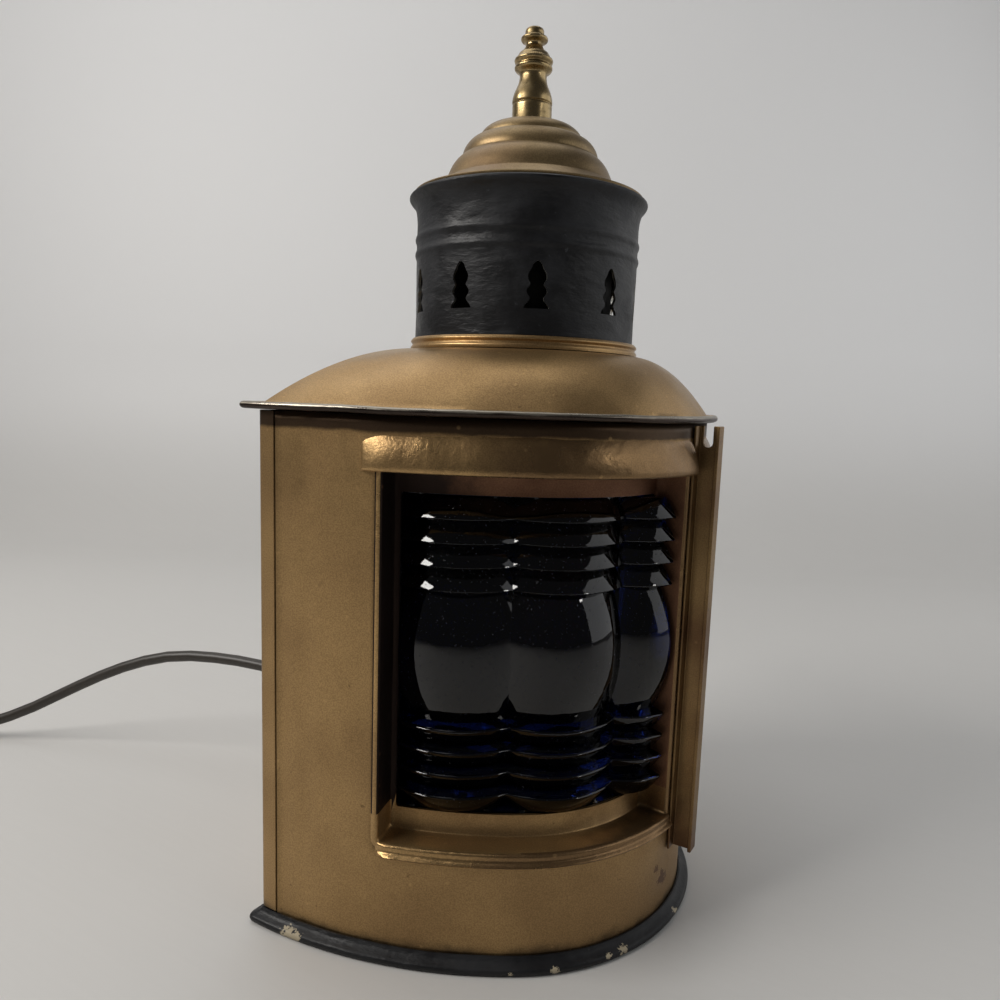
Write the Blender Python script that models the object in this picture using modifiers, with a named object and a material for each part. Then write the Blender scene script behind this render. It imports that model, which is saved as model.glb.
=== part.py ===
"""Bow lantern: a two-colour boat lantern with a D-shaped sheet case, wired for mains.

The case's nose points along +X, port is +Y and up is +Z. The origin lies on the
chimney's axis, on the underside of the base. Run it in Blender 4.5, either with
blender --background --python part.py or from the text editor.
"""
import math

import bpy
import bmesh
from mathutils import Matrix, Vector

MM = 0.001
STARBOARD = -1
PORT = 1
GAP = 0.3 * MM

# Plan of the case, measured on the outside of its wall
NOSE_RADIUS = 64.8 * MM
NOSE_HALF_ANGLE = math.radians(56.0)
SIDE_RADIUS = 146.0 * MM
CORNER_RADIUS = 1.2 * MM
SIDE_STEPS = 7
NOSE_STEPS = 9
CORNER_STEPS = 3

# Sheet sizes
WALL = 1.0 * MM
SHEET = 0.8 * MM

# Base pan
FLOOR_THICKNESS = 1.2 * MM
RIM_HEIGHT = 4.9 * MM
RIM_REACH = 4.1 * MM

# Case wall and back
CASE_TOP = 166.9 * MM
SEAM_LAP = 6.0 * MM
BACK_THICKNESS = 0.6 * MM

# Window openings, along the wall from where the side meets the nose arc
WINDOW_REAR = -44.0 * MM
WINDOW_FRONT = 57.0 * MM
WINDOW_BOTTOM = 37.5 * MM
WINDOW_TOP = 152.0 * MM
REVEAL_DEPTH = 10.0 * MM
REVEAL_LIP = 1.0 * MM
VISOR_HEIGHT = 10.0 * MM
VISOR_REACH = 3.4 * MM
VISOR_OVERHANG = 6.5 * MM
SILL_HEIGHT = 3.4 * MM
SILL_REACH = 2.5 * MM

# Pressed glass lenses
LENS_MIDDLE = 94.5 * MM
LENS_HALF_HEIGHT = 51.5 * MM
LENS_SIGHT_HALF_HEIGHT = 49.8 * MM
LENS_MARGIN = 2.0 * MM
LENS_THICKNESS = 6.8 * MM
LENS_VALLEYS = (-5.0 * MM, 38.0 * MM)
LENS_ROOT = -14.2 * MM
LOBE_RISE = 5.0 * MM
LAST_LOBE_RISE = 1.6 * MM
LAST_LOBE_LIFT = 8.2 * MM
PRISM_COUNT = 4
PRISM_FIRST = 21.4 * MM
PRISM_PITCH = 7.15 * MM
PRISM_RISE = 4.2 * MM
BULL_RISE = 5.0 * MM
RETAINER_THICKNESS = 0.7 * MM
RETAINER_LAP = 4.0 * MM
RETAINER_FLANGE = 6.5 * MM

# Fin at the nose, which parts the two lights
FIN_BOTTOM = 24.5 * MM
FIN_BELOW_TOP = 0.5 * MM
FIN_TOP = CASE_TOP - FIN_BELOW_TOP
FIN_DEPTH = 7.8 * MM
FIN_REACH = NOSE_RADIUS + FIN_DEPTH
FIN_WEB = 0.8 * MM
FIN_STRIP_WIDTH = 5.0 * MM
FIN_STRIP_THICKNESS = 1.2 * MM
FIN_FOOT_WIDTH = 8.4 * MM
FIN_FOOT_THICKNESS = 0.8 * MM
NOTCH_WIDTH = 3.0 * MM
NOTCH_FROM_STRIP = 1.4 * MM
NOTCH_DEPTH = 6.8 * MM

# Hinged hood
HOOD_BOTTOM = CASE_TOP + GAP
BRIM_REACH = 3.4 * MM
BRIM_BACK_REACH = 7.0 * MM
BRIM_THICKNESS = 2.2 * MM
DOME_FOOT_RISE = 1.8 * MM
DOME_FOOT = HOOD_BOTTOM + DOME_FOOT_RISE
DOME_RISE = 19.0 * MM
DOME_TOP = DOME_FOOT + DOME_RISE
DOME_POWER = 1.9
DOME_LOOPS = 6
HOOD_MOUTH_RADIUS = 33.8 * MM
HOOD_SHOULDER_RADIUS = 39.6 * MM

# Chimney, its collar and the draught tube inside it; the vents' bearings, in degrees from the
# nose, are not quite even
CHIMNEY_RADIUS = 38.0 * MM
CHIMNEY_HEIGHT = 51.0 * MM
CHIMNEY_TOP = DOME_TOP + GAP + CHIMNEY_HEIGHT
CHIMNEY_RIM_RADIUS = 40.7 * MM
BEAD_RISE = 0.7 * MM
BEAD_DROPS = (14.3 * MM, 19.3 * MM)
BEAD_HALF_WIDTH = 1.9 * MM
VENT_BEARINGS = (-15.5, -55.1, -92.5, -127.8, -163.2, -198.6, -234.0, -269.4, -304.8, -340.1)
VENT_RISE = 12.3 * MM
VENT_BOTTOM = DOME_TOP + VENT_RISE
VENT_HEIGHT = 14.2 * MM
VENT_HALF_WIDTH = 3.9 * MM
COLLAR_RADIUS = 39.5 * MM
COLLAR_HEIGHT = 3.9 * MM
TUBE_RADIUS = 30.0 * MM
TUBE_DROP = 7.3 * MM
TUBE_TOP = CHIMNEY_TOP - TUBE_DROP
TUBE_FLANGE_RADIUS = 36.4 * MM

# Cap and finial
CAP_FLANGE_RADIUS = 39.4 * MM
CAP_SKIRT_DEPTH = 5.0 * MM
CAP_HEIGHT = 24.9 * MM
CAP_TOP = CHIMNEY_TOP + CAP_HEIGHT
CAP_CROWN_RADIUS = 12.0 * MM
CAP_TIER_RADII = (17.8 * MM, 28.4 * MM, 36.4 * MM)
CAP_TIER_DROPS = (4.6 * MM, 17.2 * MM)
FINIAL_HEIGHT = 31.6 * MM
FINIAL_RADIUS = 6.8 * MM
STUD_RADIUS = 2.4 * MM
STUD_INTO_FINIAL = 9.0 * MM
STUD_BELOW_CAP = 6.5 * MM
WASHER_RADIUS = 7.5 * MM
WASHER_THICKNESS = 1.0 * MM
STUD_NUT_WIDTH = 9.0 * MM
STUD_NUT_HEIGHT = 3.2 * MM

# Hinge along the top of the back, under the brim
KNUCKLE_RADIUS = 2.0 * MM
PIN_RADIUS = 0.9 * MM
KNUCKLE_LENGTH = 12.0 * MM
LEAF_THICKNESS = 0.8 * MM
LEAF_DROP = 20.0 * MM
TAB_REACH = 3.4 * MM

# Socket, switch and bulb
SOCKET_SEAT = 22.0 * MM
STRAP_WIDTH = 16.0 * MM
STRAP_SPAN = 46.0 * MM
STRAP_THICKNESS = 1.5 * MM
STRAP_FOOT = 9.0 * MM
NIPPLE_RADIUS = 4.9 * MM
NIPPLE_BORE = 3.4 * MM
NIPPLE_BELOW = 5.5 * MM
NIPPLE_ABOVE = 7.5 * MM
LOCKNUT_WIDTH = 15.0 * MM
LOCKNUT_HEIGHT = 2.6 * MM
SOCKET_RADIUS = 16.6 * MM
SOCKET_CAP_HEIGHT = 13.0 * MM
SOCKET_SHELL_HEIGHT = 32.0 * MM
LINER_THICKNESS = 0.7 * MM
SCREW_SHELL_RADIUS = 13.7 * MM
SCREW_SHELL_HEIGHT = 22.0 * MM
BULB_BASE_RADIUS = 12.6 * MM
BULB_BASE_HEIGHT = 23.0 * MM
BULB_RADIUS = 23.5 * MM
BULB_HEIGHT = 62.0 * MM
SWITCH_HEIGHT = 6.0 * MM
SWITCH_STEM_RADIUS = 1.7 * MM
SWITCH_KNOB_RADIUS = 5.2 * MM
SWITCH_KNOB_LENGTH = 9.0 * MM
SWITCH_REACH = 12.0 * MM
SWITCH_ANGLE = math.radians(215.0)

# Lead: diameter, where it leaves the back, and the hand-laid route of its free stretch
CORD_DIAMETER = 5.0 * MM
INNER_LEAD_DIAMETER = 4.0 * MM
CORD_EXIT_HEIGHT = 45.0 * MM
RELIEF_LENGTH = 21.0 * MM
RELIEF_RADIUS = 4.6 * MM
RELIEF_FLANGE_RADIUS = 6.6 * MM
CORD_POINT_SPACING = 12.5 * MM
CORD_ROUTE_MM = (
    (-80.0, 0.0, 45.4), (-95.0, 0.0, 46.4), (-112.0, -0.8, 47.6), (-130.0, -3.2, 48.4),
    (-150.0, -7.6, 48.8), (-172.0, -14.0, 47.4), (-190.0, -20.6, 42.9), (-207.0, -28.0, 35.6),
    (-224.0, -36.4, 26.2), (-240.0, -45.4, 16.6), (-256.0, -54.8, 8.9), (-271.0, -63.7, 4.2),
    (-286.0, -72.6, 2.8),
)
CORD_END_MM = (-302.0, -82.1, 2.6)

# Coil of the length that is put away
COIL_INNER_RADIUS = 21.0 * MM
COIL_TURNS = 3.25
COIL_PITCH = 5.5 * MM
COIL_DIP = 1.0 * MM
COIL_POINTS_PER_TURN = 24

# Plug on the lead's far end
PLUG_LENGTH = 24.0 * MM
PLUG_WIDTH = 24.0 * MM
PLUG_HEIGHT = 15.6 * MM
PLUG_RELIEF_LENGTH = 22.0 * MM
BLADE_LENGTH = 17.0 * MM
BLADE_WIDTH = 6.3 * MM
BLADE_THICKNESS = 1.5 * MM
BLADE_SPACING = 12.7 * MM

# Roundness
CAP_SEGMENTS = 32
CHIMNEY_SEGMENTS = 40
TUBE_SEGMENTS = 24
FINIAL_SEGMENTS = 16
SOCKET_SEGMENTS = 18

SIDE_LENGTH = SIDE_RADIUS * (math.pi / 2 - NOSE_HALF_ANGLE)
NOSE_LENGTH = NOSE_RADIUS * NOSE_HALF_ANGLE
BACK_X = (NOSE_RADIUS - SIDE_RADIUS) * math.cos(NOSE_HALF_ANGLE)
SIDE_CENTRE_Y = (NOSE_RADIUS - SIDE_RADIUS) * math.sin(NOSE_HALF_ANGLE)
HALF_WIDTH = SIDE_CENTRE_Y + SIDE_RADIUS
BACK_FACE_X = BACK_X - GAP - BACK_THICKNESS
HINGE_X = BACK_FACE_X - GAP - KNUCKLE_RADIUS
HINGE_Z = HOOD_BOTTOM - GAP - KNUCKLE_RADIUS


def start_clean():
    """Empty the scene and make the two collections."""
    for item in list(bpy.data.objects):
        bpy.data.objects.remove(item, do_unlink=True)
    for name in ("bow_lantern", "cutters"):
        group = bpy.data.collections.get(name) or bpy.data.collections.new(name)
        if name not in bpy.context.scene.collection.children:
            bpy.context.scene.collection.children.link(group)


def material(name, colour, roughness, metallic=0.0, transmission=0.0):
    """A Principled material with the part's own colour."""
    result = bpy.data.materials.new(name)
    result.use_nodes = True
    shader = result.node_tree.nodes["Principled BSDF"]
    shader.inputs["Base Color"].default_value = (*colour, 1.0)
    shader.inputs["Roughness"].default_value = roughness
    shader.inputs["Metallic"].default_value = metallic
    shader.inputs["Transmission Weight"].default_value = transmission
    return result


def gold_paint(name):
    """Worn gold paint on sheet metal."""
    return material(name, (0.34, 0.22, 0.085), 0.42, 0.75)


def black_paint(name):
    """Satin black paint."""
    return material(name, (0.022, 0.023, 0.026), 0.5)


def brass(name):
    """Turned or stamped brass."""
    return material(name, (0.48, 0.33, 0.13), 0.28, 1.0)


def steel(name):
    """Plated steel."""
    return material(name, (0.5, 0.5, 0.48), 0.35, 1.0)


def rubber(name):
    """Dark brown moulded plastic or rubber."""
    return material(name, (0.045, 0.038, 0.03), 0.5)


def add_object(name, mesh, finish, cutter=False):
    """Place a mesh in the scene, as a part or as a hidden cutter."""
    item = bpy.data.objects.new(name, mesh)
    bpy.data.collections["cutters" if cutter else "bow_lantern"].objects.link(item)
    if finish is not None:
        mesh.materials.append(finish)
    if cutter:
        item.hide_render = True
        item.display_type = "WIRE"
    return item


def smooth(item, angle=math.radians(35)):
    """Shade smooth, with edges sharper than the angle kept."""
    item.data.shade_smooth()
    item.data.set_sharp_from_angle(angle=angle)


def loft(name, loops, finish, ring=False, cutter=False):
    """Skin a row of equal loops, capped at both ends or closed into a ring."""
    work = bmesh.new()
    rows = [[work.verts.new(point) for point in loop] for loop in loops]
    count = len(rows[0])
    pairs = list(zip(rows, rows[1:]))
    if ring:
        pairs.append((rows[-1], rows[0]))
    for low, high in pairs:
        for i in range(count):
            j = (i + 1) % count
            work.faces.new((low[i], low[j], high[j], high[i]))
    if not ring:
        work.faces.new(list(reversed(rows[0])))
        work.faces.new(rows[-1])
    if work.calc_volume(signed=True) < 0:
        bmesh.ops.reverse_faces(work, faces=work.faces)
    mesh = bpy.data.meshes.new(name)
    work.to_mesh(mesh)
    work.free()
    item = add_object(name, mesh, finish, cutter)
    smooth(item)
    return item


def lathe(name, profile, segments, finish, closed=False, cutter=False):
    """Turn a profile of (radius, height) round Z with a Screw modifier."""
    mesh = bpy.data.meshes.new(name)
    edges = [(i, i + 1) for i in range(len(profile) - 1)]
    if closed:
        edges.append((len(profile) - 1, 0))
    mesh.from_pydata([(radius, 0.0, height) for radius, height in profile], edges, [])
    item = add_object(name, mesh, finish, cutter)
    turn = item.modifiers.new("turn", "SCREW")
    turn.axis = "Z"
    turn.steps = segments
    turn.render_steps = segments
    turn.use_merge_vertices = True
    turn.merge_threshold = 0.00001
    turn.use_smooth_shade = True
    return item


def settle(item):
    """Turn a curve, or a mesh with modifiers, into a plain welded mesh in its place."""
    bpy.context.view_layer.update()
    graph = bpy.context.evaluated_depsgraph_get()
    mesh = bpy.data.meshes.new_from_object(item.evaluated_get(graph), depsgraph=graph)
    work = bmesh.new()
    work.from_mesh(mesh)
    bmesh.ops.remove_doubles(work, verts=work.verts, dist=0.000005)
    bmesh.ops.recalc_face_normals(work, faces=work.faces)
    work.to_mesh(mesh)
    work.free()
    name = item.name
    place = item.matrix_world.copy()
    group = item.users_collection[0]
    hidden = item.hide_render
    bpy.data.objects.remove(item, do_unlink=True)
    result = bpy.data.objects.new(name, mesh)
    group.objects.link(result)
    result.matrix_world = place
    if hidden:
        result.hide_render = True
        result.display_type = "WIRE"
    smooth(result)
    return result


def flat(name, outlines, thickness, place, finish, cutter=False):
    """Extrude flat outlines, the first outside and the others holes, centred on a plane."""
    curve = bpy.data.curves.new(name, "CURVE")
    curve.dimensions = "2D"
    curve.fill_mode = "BOTH"
    curve.extrude = thickness / 2
    for outline in outlines:
        spline = curve.splines.new("POLY")
        spline.points.add(len(outline) - 1)
        for point, (x, y) in zip(spline.points, outline):
            point.co = (x, y, 0.0, 1.0)
        spline.use_cyclic_u = True
    item = add_object(name, curve, finish, cutter)
    item.matrix_world = place
    return settle(item)


def tube(name, points, diameter, resolution, finish):
    """A round cord through the points, with filled ends."""
    curve = bpy.data.curves.new(name, "CURVE")
    curve.dimensions = "3D"
    curve.bevel_depth = diameter / 2
    curve.bevel_resolution = resolution
    curve.use_fill_caps = True
    spline = curve.splines.new("POLY")
    spline.points.add(len(points) - 1)
    for point, place in zip(spline.points, points):
        point.co = (*place, 1.0)
    return add_object(name, curve, finish)


def boolean(item, other, operation="DIFFERENCE", solver="EXACT"):
    """Cut the item with the other body, or join that body to it."""
    step = item.modifiers.new(operation.lower(), "BOOLEAN")
    step.operation = operation
    step.solver = solver
    step.object = other
    return step


def circle(radius, count, centre=(0.0, 0.0), start=0.0):
    """Points round a circle in a plane."""
    turns = [start + 2 * math.pi * i / count for i in range(count)]
    return [(centre[0] + radius * math.cos(a), centre[1] + radius * math.sin(a)) for a in turns]


def hexagon(across_flats):
    """A nut's outline."""
    return circle(across_flats / math.sqrt(3), 6)


def wall_point(side, along, offset, height):
    """A point on the case wall, moved outward by the offset.

    along is the distance on the wall from where the side arc meets the nose arc,
    positive towards the nose.
    """
    if along >= 0:
        angle = NOSE_HALF_ANGLE - along / NOSE_RADIUS
        reach = NOSE_RADIUS + offset
        return Vector((reach * math.cos(angle), side * reach * math.sin(angle), height))
    angle = NOSE_HALF_ANGLE - along / SIDE_RADIUS
    reach = SIDE_RADIUS + offset
    return Vector((BACK_X + reach * math.cos(angle),
                   side * (SIDE_CENTRE_Y + reach * math.sin(angle)), height))


def spread(start, end, steps):
    """Evenly spaced values, both ends included."""
    return [start + (end - start) * i / steps for i in range(steps + 1)]


def wall_stations(start, end):
    """Distances along the wall, with a station where the arcs meet."""
    if start >= 0 or end <= 0:
        length = NOSE_LENGTH if start >= 0 else SIDE_LENGTH
        steps = NOSE_STEPS if start >= 0 else SIDE_STEPS
        return spread(start, end, max(1, round(steps * (end - start) / length)))
    rear = max(1, round(SIDE_STEPS * -start / SIDE_LENGTH))
    front = max(1, round(NOSE_STEPS * end / NOSE_LENGTH))
    return spread(start, 0.0, rear) + spread(0.0, end, front)[1:]


def half_outline(side, offset, height, back):
    """One side of the case's outline, from the rounded back corner to the nose."""
    corner = max(0.5 * MM, CORNER_RADIUS + 0.3 * offset)
    centre_x = BACK_X - back + corner
    centre_y = HALF_WIDTH + offset - corner
    points = []
    for turn in spread(0.0, math.pi / 2, CORNER_STEPS):
        points.append(Vector((centre_x - corner * math.cos(turn),
                              side * (centre_y + corner * math.sin(turn)), height)))
    rear = -SIDE_LENGTH * (1 - 1 / SIDE_STEPS)
    points += [wall_point(side, along, offset, height) for along in wall_stations(rear, NOSE_LENGTH)]
    return points


def case_outline(offset, height, back=None):
    """The closed outline of the case, from the starboard back corner round to port.

    back is how far the flat back is moved out, where that differs from the offset.
    """
    back = offset if back is None else back
    port = half_outline(PORT, offset, height, back)
    return half_outline(STARBOARD, offset, height, back) + port[-2::-1]


def wall_sweep(name, side, stations, section, finish=None, cutter=False):
    """Sweep a section along the wall. section(along) gives its (offset, height) points."""
    loops = [[wall_point(side, along, offset, height) for offset, height in section(along)]
             for along in stations]
    return loft(name, loops, finish, cutter=cutter)


def wall_block(name, side, span, heights, offsets, finish=None, cutter=False):
    """A block that follows the wall, such as a window's cutter."""
    section = [(offsets[0], heights[0]), (offsets[1], heights[0]),
               (offsets[1], heights[1]), (offsets[0], heights[1])]
    return wall_sweep(name, side, wall_stations(*span), lambda along: section, finish, cutter)


def upright_sheet(name, path, bottom, top, thickness, finish):
    """A bent sheet that stands on a path, thickened towards the inside of the case."""
    work = bmesh.new()
    low = [work.verts.new((x, y, bottom)) for x, y in path]
    high = [work.verts.new((x, y, top)) for x, y in path]
    for i in range(len(path) - 1):
        work.faces.new((low[i], low[i + 1], high[i + 1], high[i]))
    mesh = bpy.data.meshes.new(name)
    work.to_mesh(mesh)
    work.free()
    item = add_object(name, mesh, finish)
    shell = item.modifiers.new("sheet", "SOLIDIFY")
    shell.thickness = thickness
    shell.offset = -1.0
    shell.use_even_offset = True
    return item


def base_pan():
    """The flat base with its rolled black rim, into which the case is set."""
    inner = GAP
    section = [
        (RIM_REACH - 1.0 * MM, 0.0),
        (RIM_REACH - 0.2 * MM, 0.6 * MM),
        (RIM_REACH, 1.5 * MM),
        (RIM_REACH - 0.4 * MM, 2.4 * MM),
        (RIM_REACH - 1.4 * MM, 2.9 * MM),
        (inner + 1.2 * MM, RIM_HEIGHT - 1.1 * MM),
        (inner + 0.5 * MM, RIM_HEIGHT),
        (inner, RIM_HEIGHT - 0.1 * MM),
        (inner, FLOOR_THICKNESS),
    ]
    return loft("base_pan", [case_outline(offset, height) for offset, height in section],
                black_paint("base_black"))


def window_cutter(side, name, clearance):
    """The opening through the wall that takes a lens frame."""
    edge = WALL + clearance
    return wall_block(name, side, (WINDOW_REAR - edge, WINDOW_FRONT + edge),
                      (WINDOW_BOTTOM - edge, WINDOW_TOP + edge), (-5 * WALL, 5 * WALL), cutter=True)


def body_shell():
    """The bent sheet wall, open at the back, with a window on each side."""
    stations = wall_stations(-(SIDE_LENGTH - CORNER_RADIUS), NOSE_LENGTH)
    starboard = [wall_point(STARBOARD, along, 0.0, 0.0).xy for along in stations]
    port = [wall_point(PORT, along, 0.0, 0.0).xy for along in stations[-2::-1]]
    item = upright_sheet("body_shell", starboard + port, FLOOR_THICKNESS + GAP, CASE_TOP, WALL,
                         gold_paint("case_gold"))
    boolean(item, window_cutter(STARBOARD, "starboard_opening", GAP))
    boolean(item, window_cutter(PORT, "port_opening", GAP))
    return item


def back_plate():
    """The flat back, whose edges lap round the case's rear corners."""
    outer = GAP + BACK_THICKNESS
    corner = CORNER_RADIUS + outer
    path = [(BACK_X + SEAM_LAP, HALF_WIDTH + outer)]
    for turn in spread(math.pi / 2, 0.0, CORNER_STEPS + 1):
        path.append((BACK_X + CORNER_RADIUS - corner * math.cos(turn),
                     HALF_WIDTH - CORNER_RADIUS + corner * math.sin(turn)))
    path += [(x, -y) for x, y in reversed(path)]
    item = upright_sheet("back_plate", path, RIM_HEIGHT + GAP, CASE_TOP, BACK_THICKNESS,
                         gold_paint("back_gold"))
    hole = lathe("cord_hole", [(0.0, 0.01), (RELIEF_RADIUS + GAP, 0.01),
                               (RELIEF_RADIUS + GAP, -0.01), (0.0, -0.01)], 16, None, cutter=True)
    hole.location = (BACK_X, 0.0, CORD_EXIT_HEIGHT)
    hole.rotation_euler = (0.0, math.pi / 2, 0.0)
    boolean(item, hole)
    return item


def visor_section(along):
    """The moulding over a window, drawn in towards its rear end."""
    rear = WINDOW_REAR - VISOR_OVERHANG
    share = min(1.0, 0.25 + (along - rear) / VISOR_OVERHANG)
    reach = GAP + VISOR_REACH * share
    top = WINDOW_TOP + VISOR_HEIGHT * (0.8 + 0.2 * share)
    middle = (WINDOW_TOP + top) / 2
    return [(GAP, WINDOW_TOP - WALL), (reach, WINDOW_TOP - WALL), (reach, WINDOW_TOP + 1.6 * MM),
            (GAP + 0.82 * (reach - GAP), middle), (GAP + 0.4 * (reach - GAP), top - 1.6 * MM),
            (GAP, top)]


def sill_section(along):
    """The bead under a window."""
    low = WINDOW_BOTTOM - SILL_HEIGHT
    return [(GAP, low), (GAP + 0.6 * SILL_REACH, low + 0.5 * MM),
            (GAP + SILL_REACH, low + 0.5 * SILL_HEIGHT), (GAP + SILL_REACH, WINDOW_BOTTOM + WALL),
            (GAP, WINDOW_BOTTOM + WALL)]


def lens_frame(side, label):
    """The box that lines a window: outer lip, reveal and inner flange for the lens.

    Its curved faces nearly coincide with those of its mouldings, which the exact solver
    joins badly, so all four steps use the manifold one.
    """
    front = WINDOW_FRONT + WALL
    rear = WINDOW_REAR - WALL
    item = wall_block(label + "_lens_frame", side, (rear, front),
                      (WINDOW_BOTTOM - WALL, WINDOW_TOP + WALL),
                      (-REVEAL_DEPTH - WALL, REVEAL_LIP), gold_paint(label + "_frame_gold"))
    overhang = WINDOW_REAR - VISOR_OVERHANG
    short = 0.4 * MM
    visor_stations = [overhang, overhang + 2.2 * MM] + wall_stations(rear, front - short)
    visor = wall_sweep(label + "_visor", side, visor_stations, visor_section, cutter=True)
    boolean(item, visor, "UNION", "MANIFOLD")
    sill = wall_sweep(label + "_sill", side, wall_stations(rear + short, front - short), sill_section,
                      cutter=True)
    boolean(item, sill, "UNION", "MANIFOLD")
    pocket = wall_block(label + "_pocket", side, (WINDOW_REAR, WINDOW_FRONT),
                        (WINDOW_BOTTOM, WINDOW_TOP), (-REVEAL_DEPTH, 9 * MM), cutter=True)
    boolean(item, pocket, "DIFFERENCE", "MANIFOLD")
    sight = wall_block(label + "_sight", side, (WINDOW_REAR + LENS_MARGIN, WINDOW_FRONT - LENS_MARGIN),
                       (LENS_MIDDLE - LENS_SIGHT_HALF_HEIGHT, LENS_MIDDLE + LENS_SIGHT_HALF_HEIGHT),
                       (-REVEAL_DEPTH - 4 * WALL, 0.0), cutter=True)
    boolean(item, sight, "DIFFERENCE", "MANIFOLD")
    return item


def lobe_height(along):
    """How far the lens's three lobes stand out at a place along the wall.

    The last lobe is cut short at the nose, where it still rises.
    """
    edges = (WINDOW_REAR + LENS_MARGIN, *LENS_VALLEYS, WINDOW_FRONT - LENS_MARGIN)
    lobes = ((LOBE_RISE, 0.0), (LOBE_RISE, 0.0), (LAST_LOBE_RISE, LAST_LOBE_LIFT))
    for low, high, (rise, lift) in zip(edges, edges[1:], lobes):
        if low <= along <= high:
            share = (along - low) / (high - low)
            return lift * share + rise * (1 - (2 * share - 1) ** 2)
    return 0.0


def lens_profile():
    """Heights over the lens's middle and how far its rings stand out there.

    The bull's eye band is an arc. Each prism has a long slope and a short step
    that faces the middle.
    """
    band = PRISM_FIRST - 1.2 * MM
    profile = [(height, BULL_RISE * (1 - (height / band) ** 2)) for height in spread(0.0, band, 3)]
    for ring in range(PRISM_COUNT):
        tip = PRISM_FIRST + ring * PRISM_PITCH
        profile.append((tip, PRISM_RISE))
        profile.append((tip + PRISM_PITCH - 1.0 * MM, 0.0))
    below = [(-height, rise) for height, rise in reversed(profile[1:])]
    return below + profile


def lens(side, label, colour):
    """A pressed glass lens with three lobes, ring prisms above and below a bull's eye band."""
    back = -REVEAL_DEPTH - WALL - GAP - LENS_THICKNESS
    seat = -REVEAL_DEPTH - WALL - GAP
    rear = WINDOW_REAR + GAP
    front = WINDOW_FRONT - GAP
    sight = (WINDOW_REAR + LENS_MARGIN + GAP, WINDOW_FRONT - LENS_MARGIN - GAP)
    edges = [sight[0], *LENS_VALLEYS, sight[1]]
    stations = [sight[0]]
    for low, high in zip(edges, edges[1:]):
        stations += spread(low, high, 5)[1:]
    bottom = LENS_MIDDLE - LENS_HALF_HEIGHT
    top = LENS_MIDDLE + LENS_HALF_HEIGHT

    step = LENS_SIGHT_HALF_HEIGHT - GAP

    def section(along, raised=1.0):
        """The lens's section at a place: its flat back, its hidden margins and its relief."""
        lobe = lobe_height(along)
        points = [(back, top), (back, bottom), (seat, bottom), (seat, LENS_MIDDLE - step)]
        for height, rise in lens_profile():
            stand = LENS_ROOT - seat + lobe + rise
            points.append((seat + raised * stand, LENS_MIDDLE + height))
        points += [(seat, LENS_MIDDLE + step), (seat, top)]
        return [wall_point(side, along, *point) for point in points]

    loops = [section(rear, 0.0), section(sight[0] - 0.01 * MM, 0.0)]
    loops += [section(along) for along in stations]
    loops += [section(sight[1] + 0.01 * MM, 0.0), section(front, 0.0)]
    return loft(label + "_lens", loops, material(label + "_glass", colour, 0.05, 0.0, 0.9))


def lens_retainer(side, label):
    """The sheet cap that slides over a frame's box from behind and holds the lens in."""
    back = -REVEAL_DEPTH - WALL - GAP - LENS_THICKNESS - GAP
    front = -REVEAL_DEPTH + RETAINER_LAP
    inside = WALL + GAP
    outside = inside + RETAINER_THICKNESS
    item = wall_block(label + "_lens_retainer", side, (WINDOW_REAR - outside, WINDOW_FRONT + outside),
                      (WINDOW_BOTTOM - outside, WINDOW_TOP + outside),
                      (back - RETAINER_THICKNESS, front), steel(label + "_retainer_tin"))
    room = wall_block(label + "_box_room", side, (WINDOW_REAR - inside, WINDOW_FRONT + inside),
                      (WINDOW_BOTTOM - inside, WINDOW_TOP + inside), (back, front + WALL), cutter=True)
    boolean(item, room)
    edge = RETAINER_FLANGE
    light = wall_block(label + "_light", side, (WINDOW_REAR + edge, WINDOW_FRONT - edge),
                       (WINDOW_BOTTOM + edge, WINDOW_TOP - edge), (back - 4 * WALL, 0.0), cutter=True)
    boolean(item, light)
    return item


def bow_fin():
    """The upright fin at the nose: a foot on the case, a web and an outer strip."""
    foot_inner = NOSE_RADIUS + GAP
    foot_outer = foot_inner + FIN_FOOT_THICKNESS
    half_foot = FIN_FOOT_WIDTH / 2
    sag = NOSE_RADIUS - math.sqrt(NOSE_RADIUS ** 2 - half_foot ** 2)
    strip_inner = FIN_REACH - FIN_STRIP_THICKNESS
    half_strip = FIN_STRIP_WIDTH / 2
    half_web = FIN_WEB / 2
    side = [(foot_inner, 0.0), (foot_inner - sag, half_foot), (foot_outer - sag, half_foot),
            (foot_outer, half_web), (strip_inner, half_web), (strip_inner, half_strip),
            (FIN_REACH, half_strip)]
    outline = side + [(x, -y) for x, y in reversed(side[1:])]
    middle = (FIN_BOTTOM + FIN_TOP) / 2
    item = flat("bow_fin", [outline], FIN_TOP - FIN_BOTTOM,
                Matrix.Translation((0.0, 0.0, middle)), gold_paint("fin_gold"))
    radius = NOTCH_WIDTH / 2
    centre = strip_inner - NOTCH_FROM_STRIP - radius
    low = FIN_TOP - NOTCH_DEPTH + radius
    notch = [(centre + radius, FIN_TOP + 2 * MM), (centre - radius, FIN_TOP + 2 * MM)]
    for turn in spread(math.pi, 2 * math.pi, 6):
        notch.append((centre + radius * math.cos(turn), low + radius * math.sin(turn)))
    cutter = flat("fin_notch", [notch], 4 * FIN_WEB, Matrix.Rotation(math.pi / 2, 4, "X"), None,
                  cutter=True)
    boolean(item, cutter)
    return item


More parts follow.
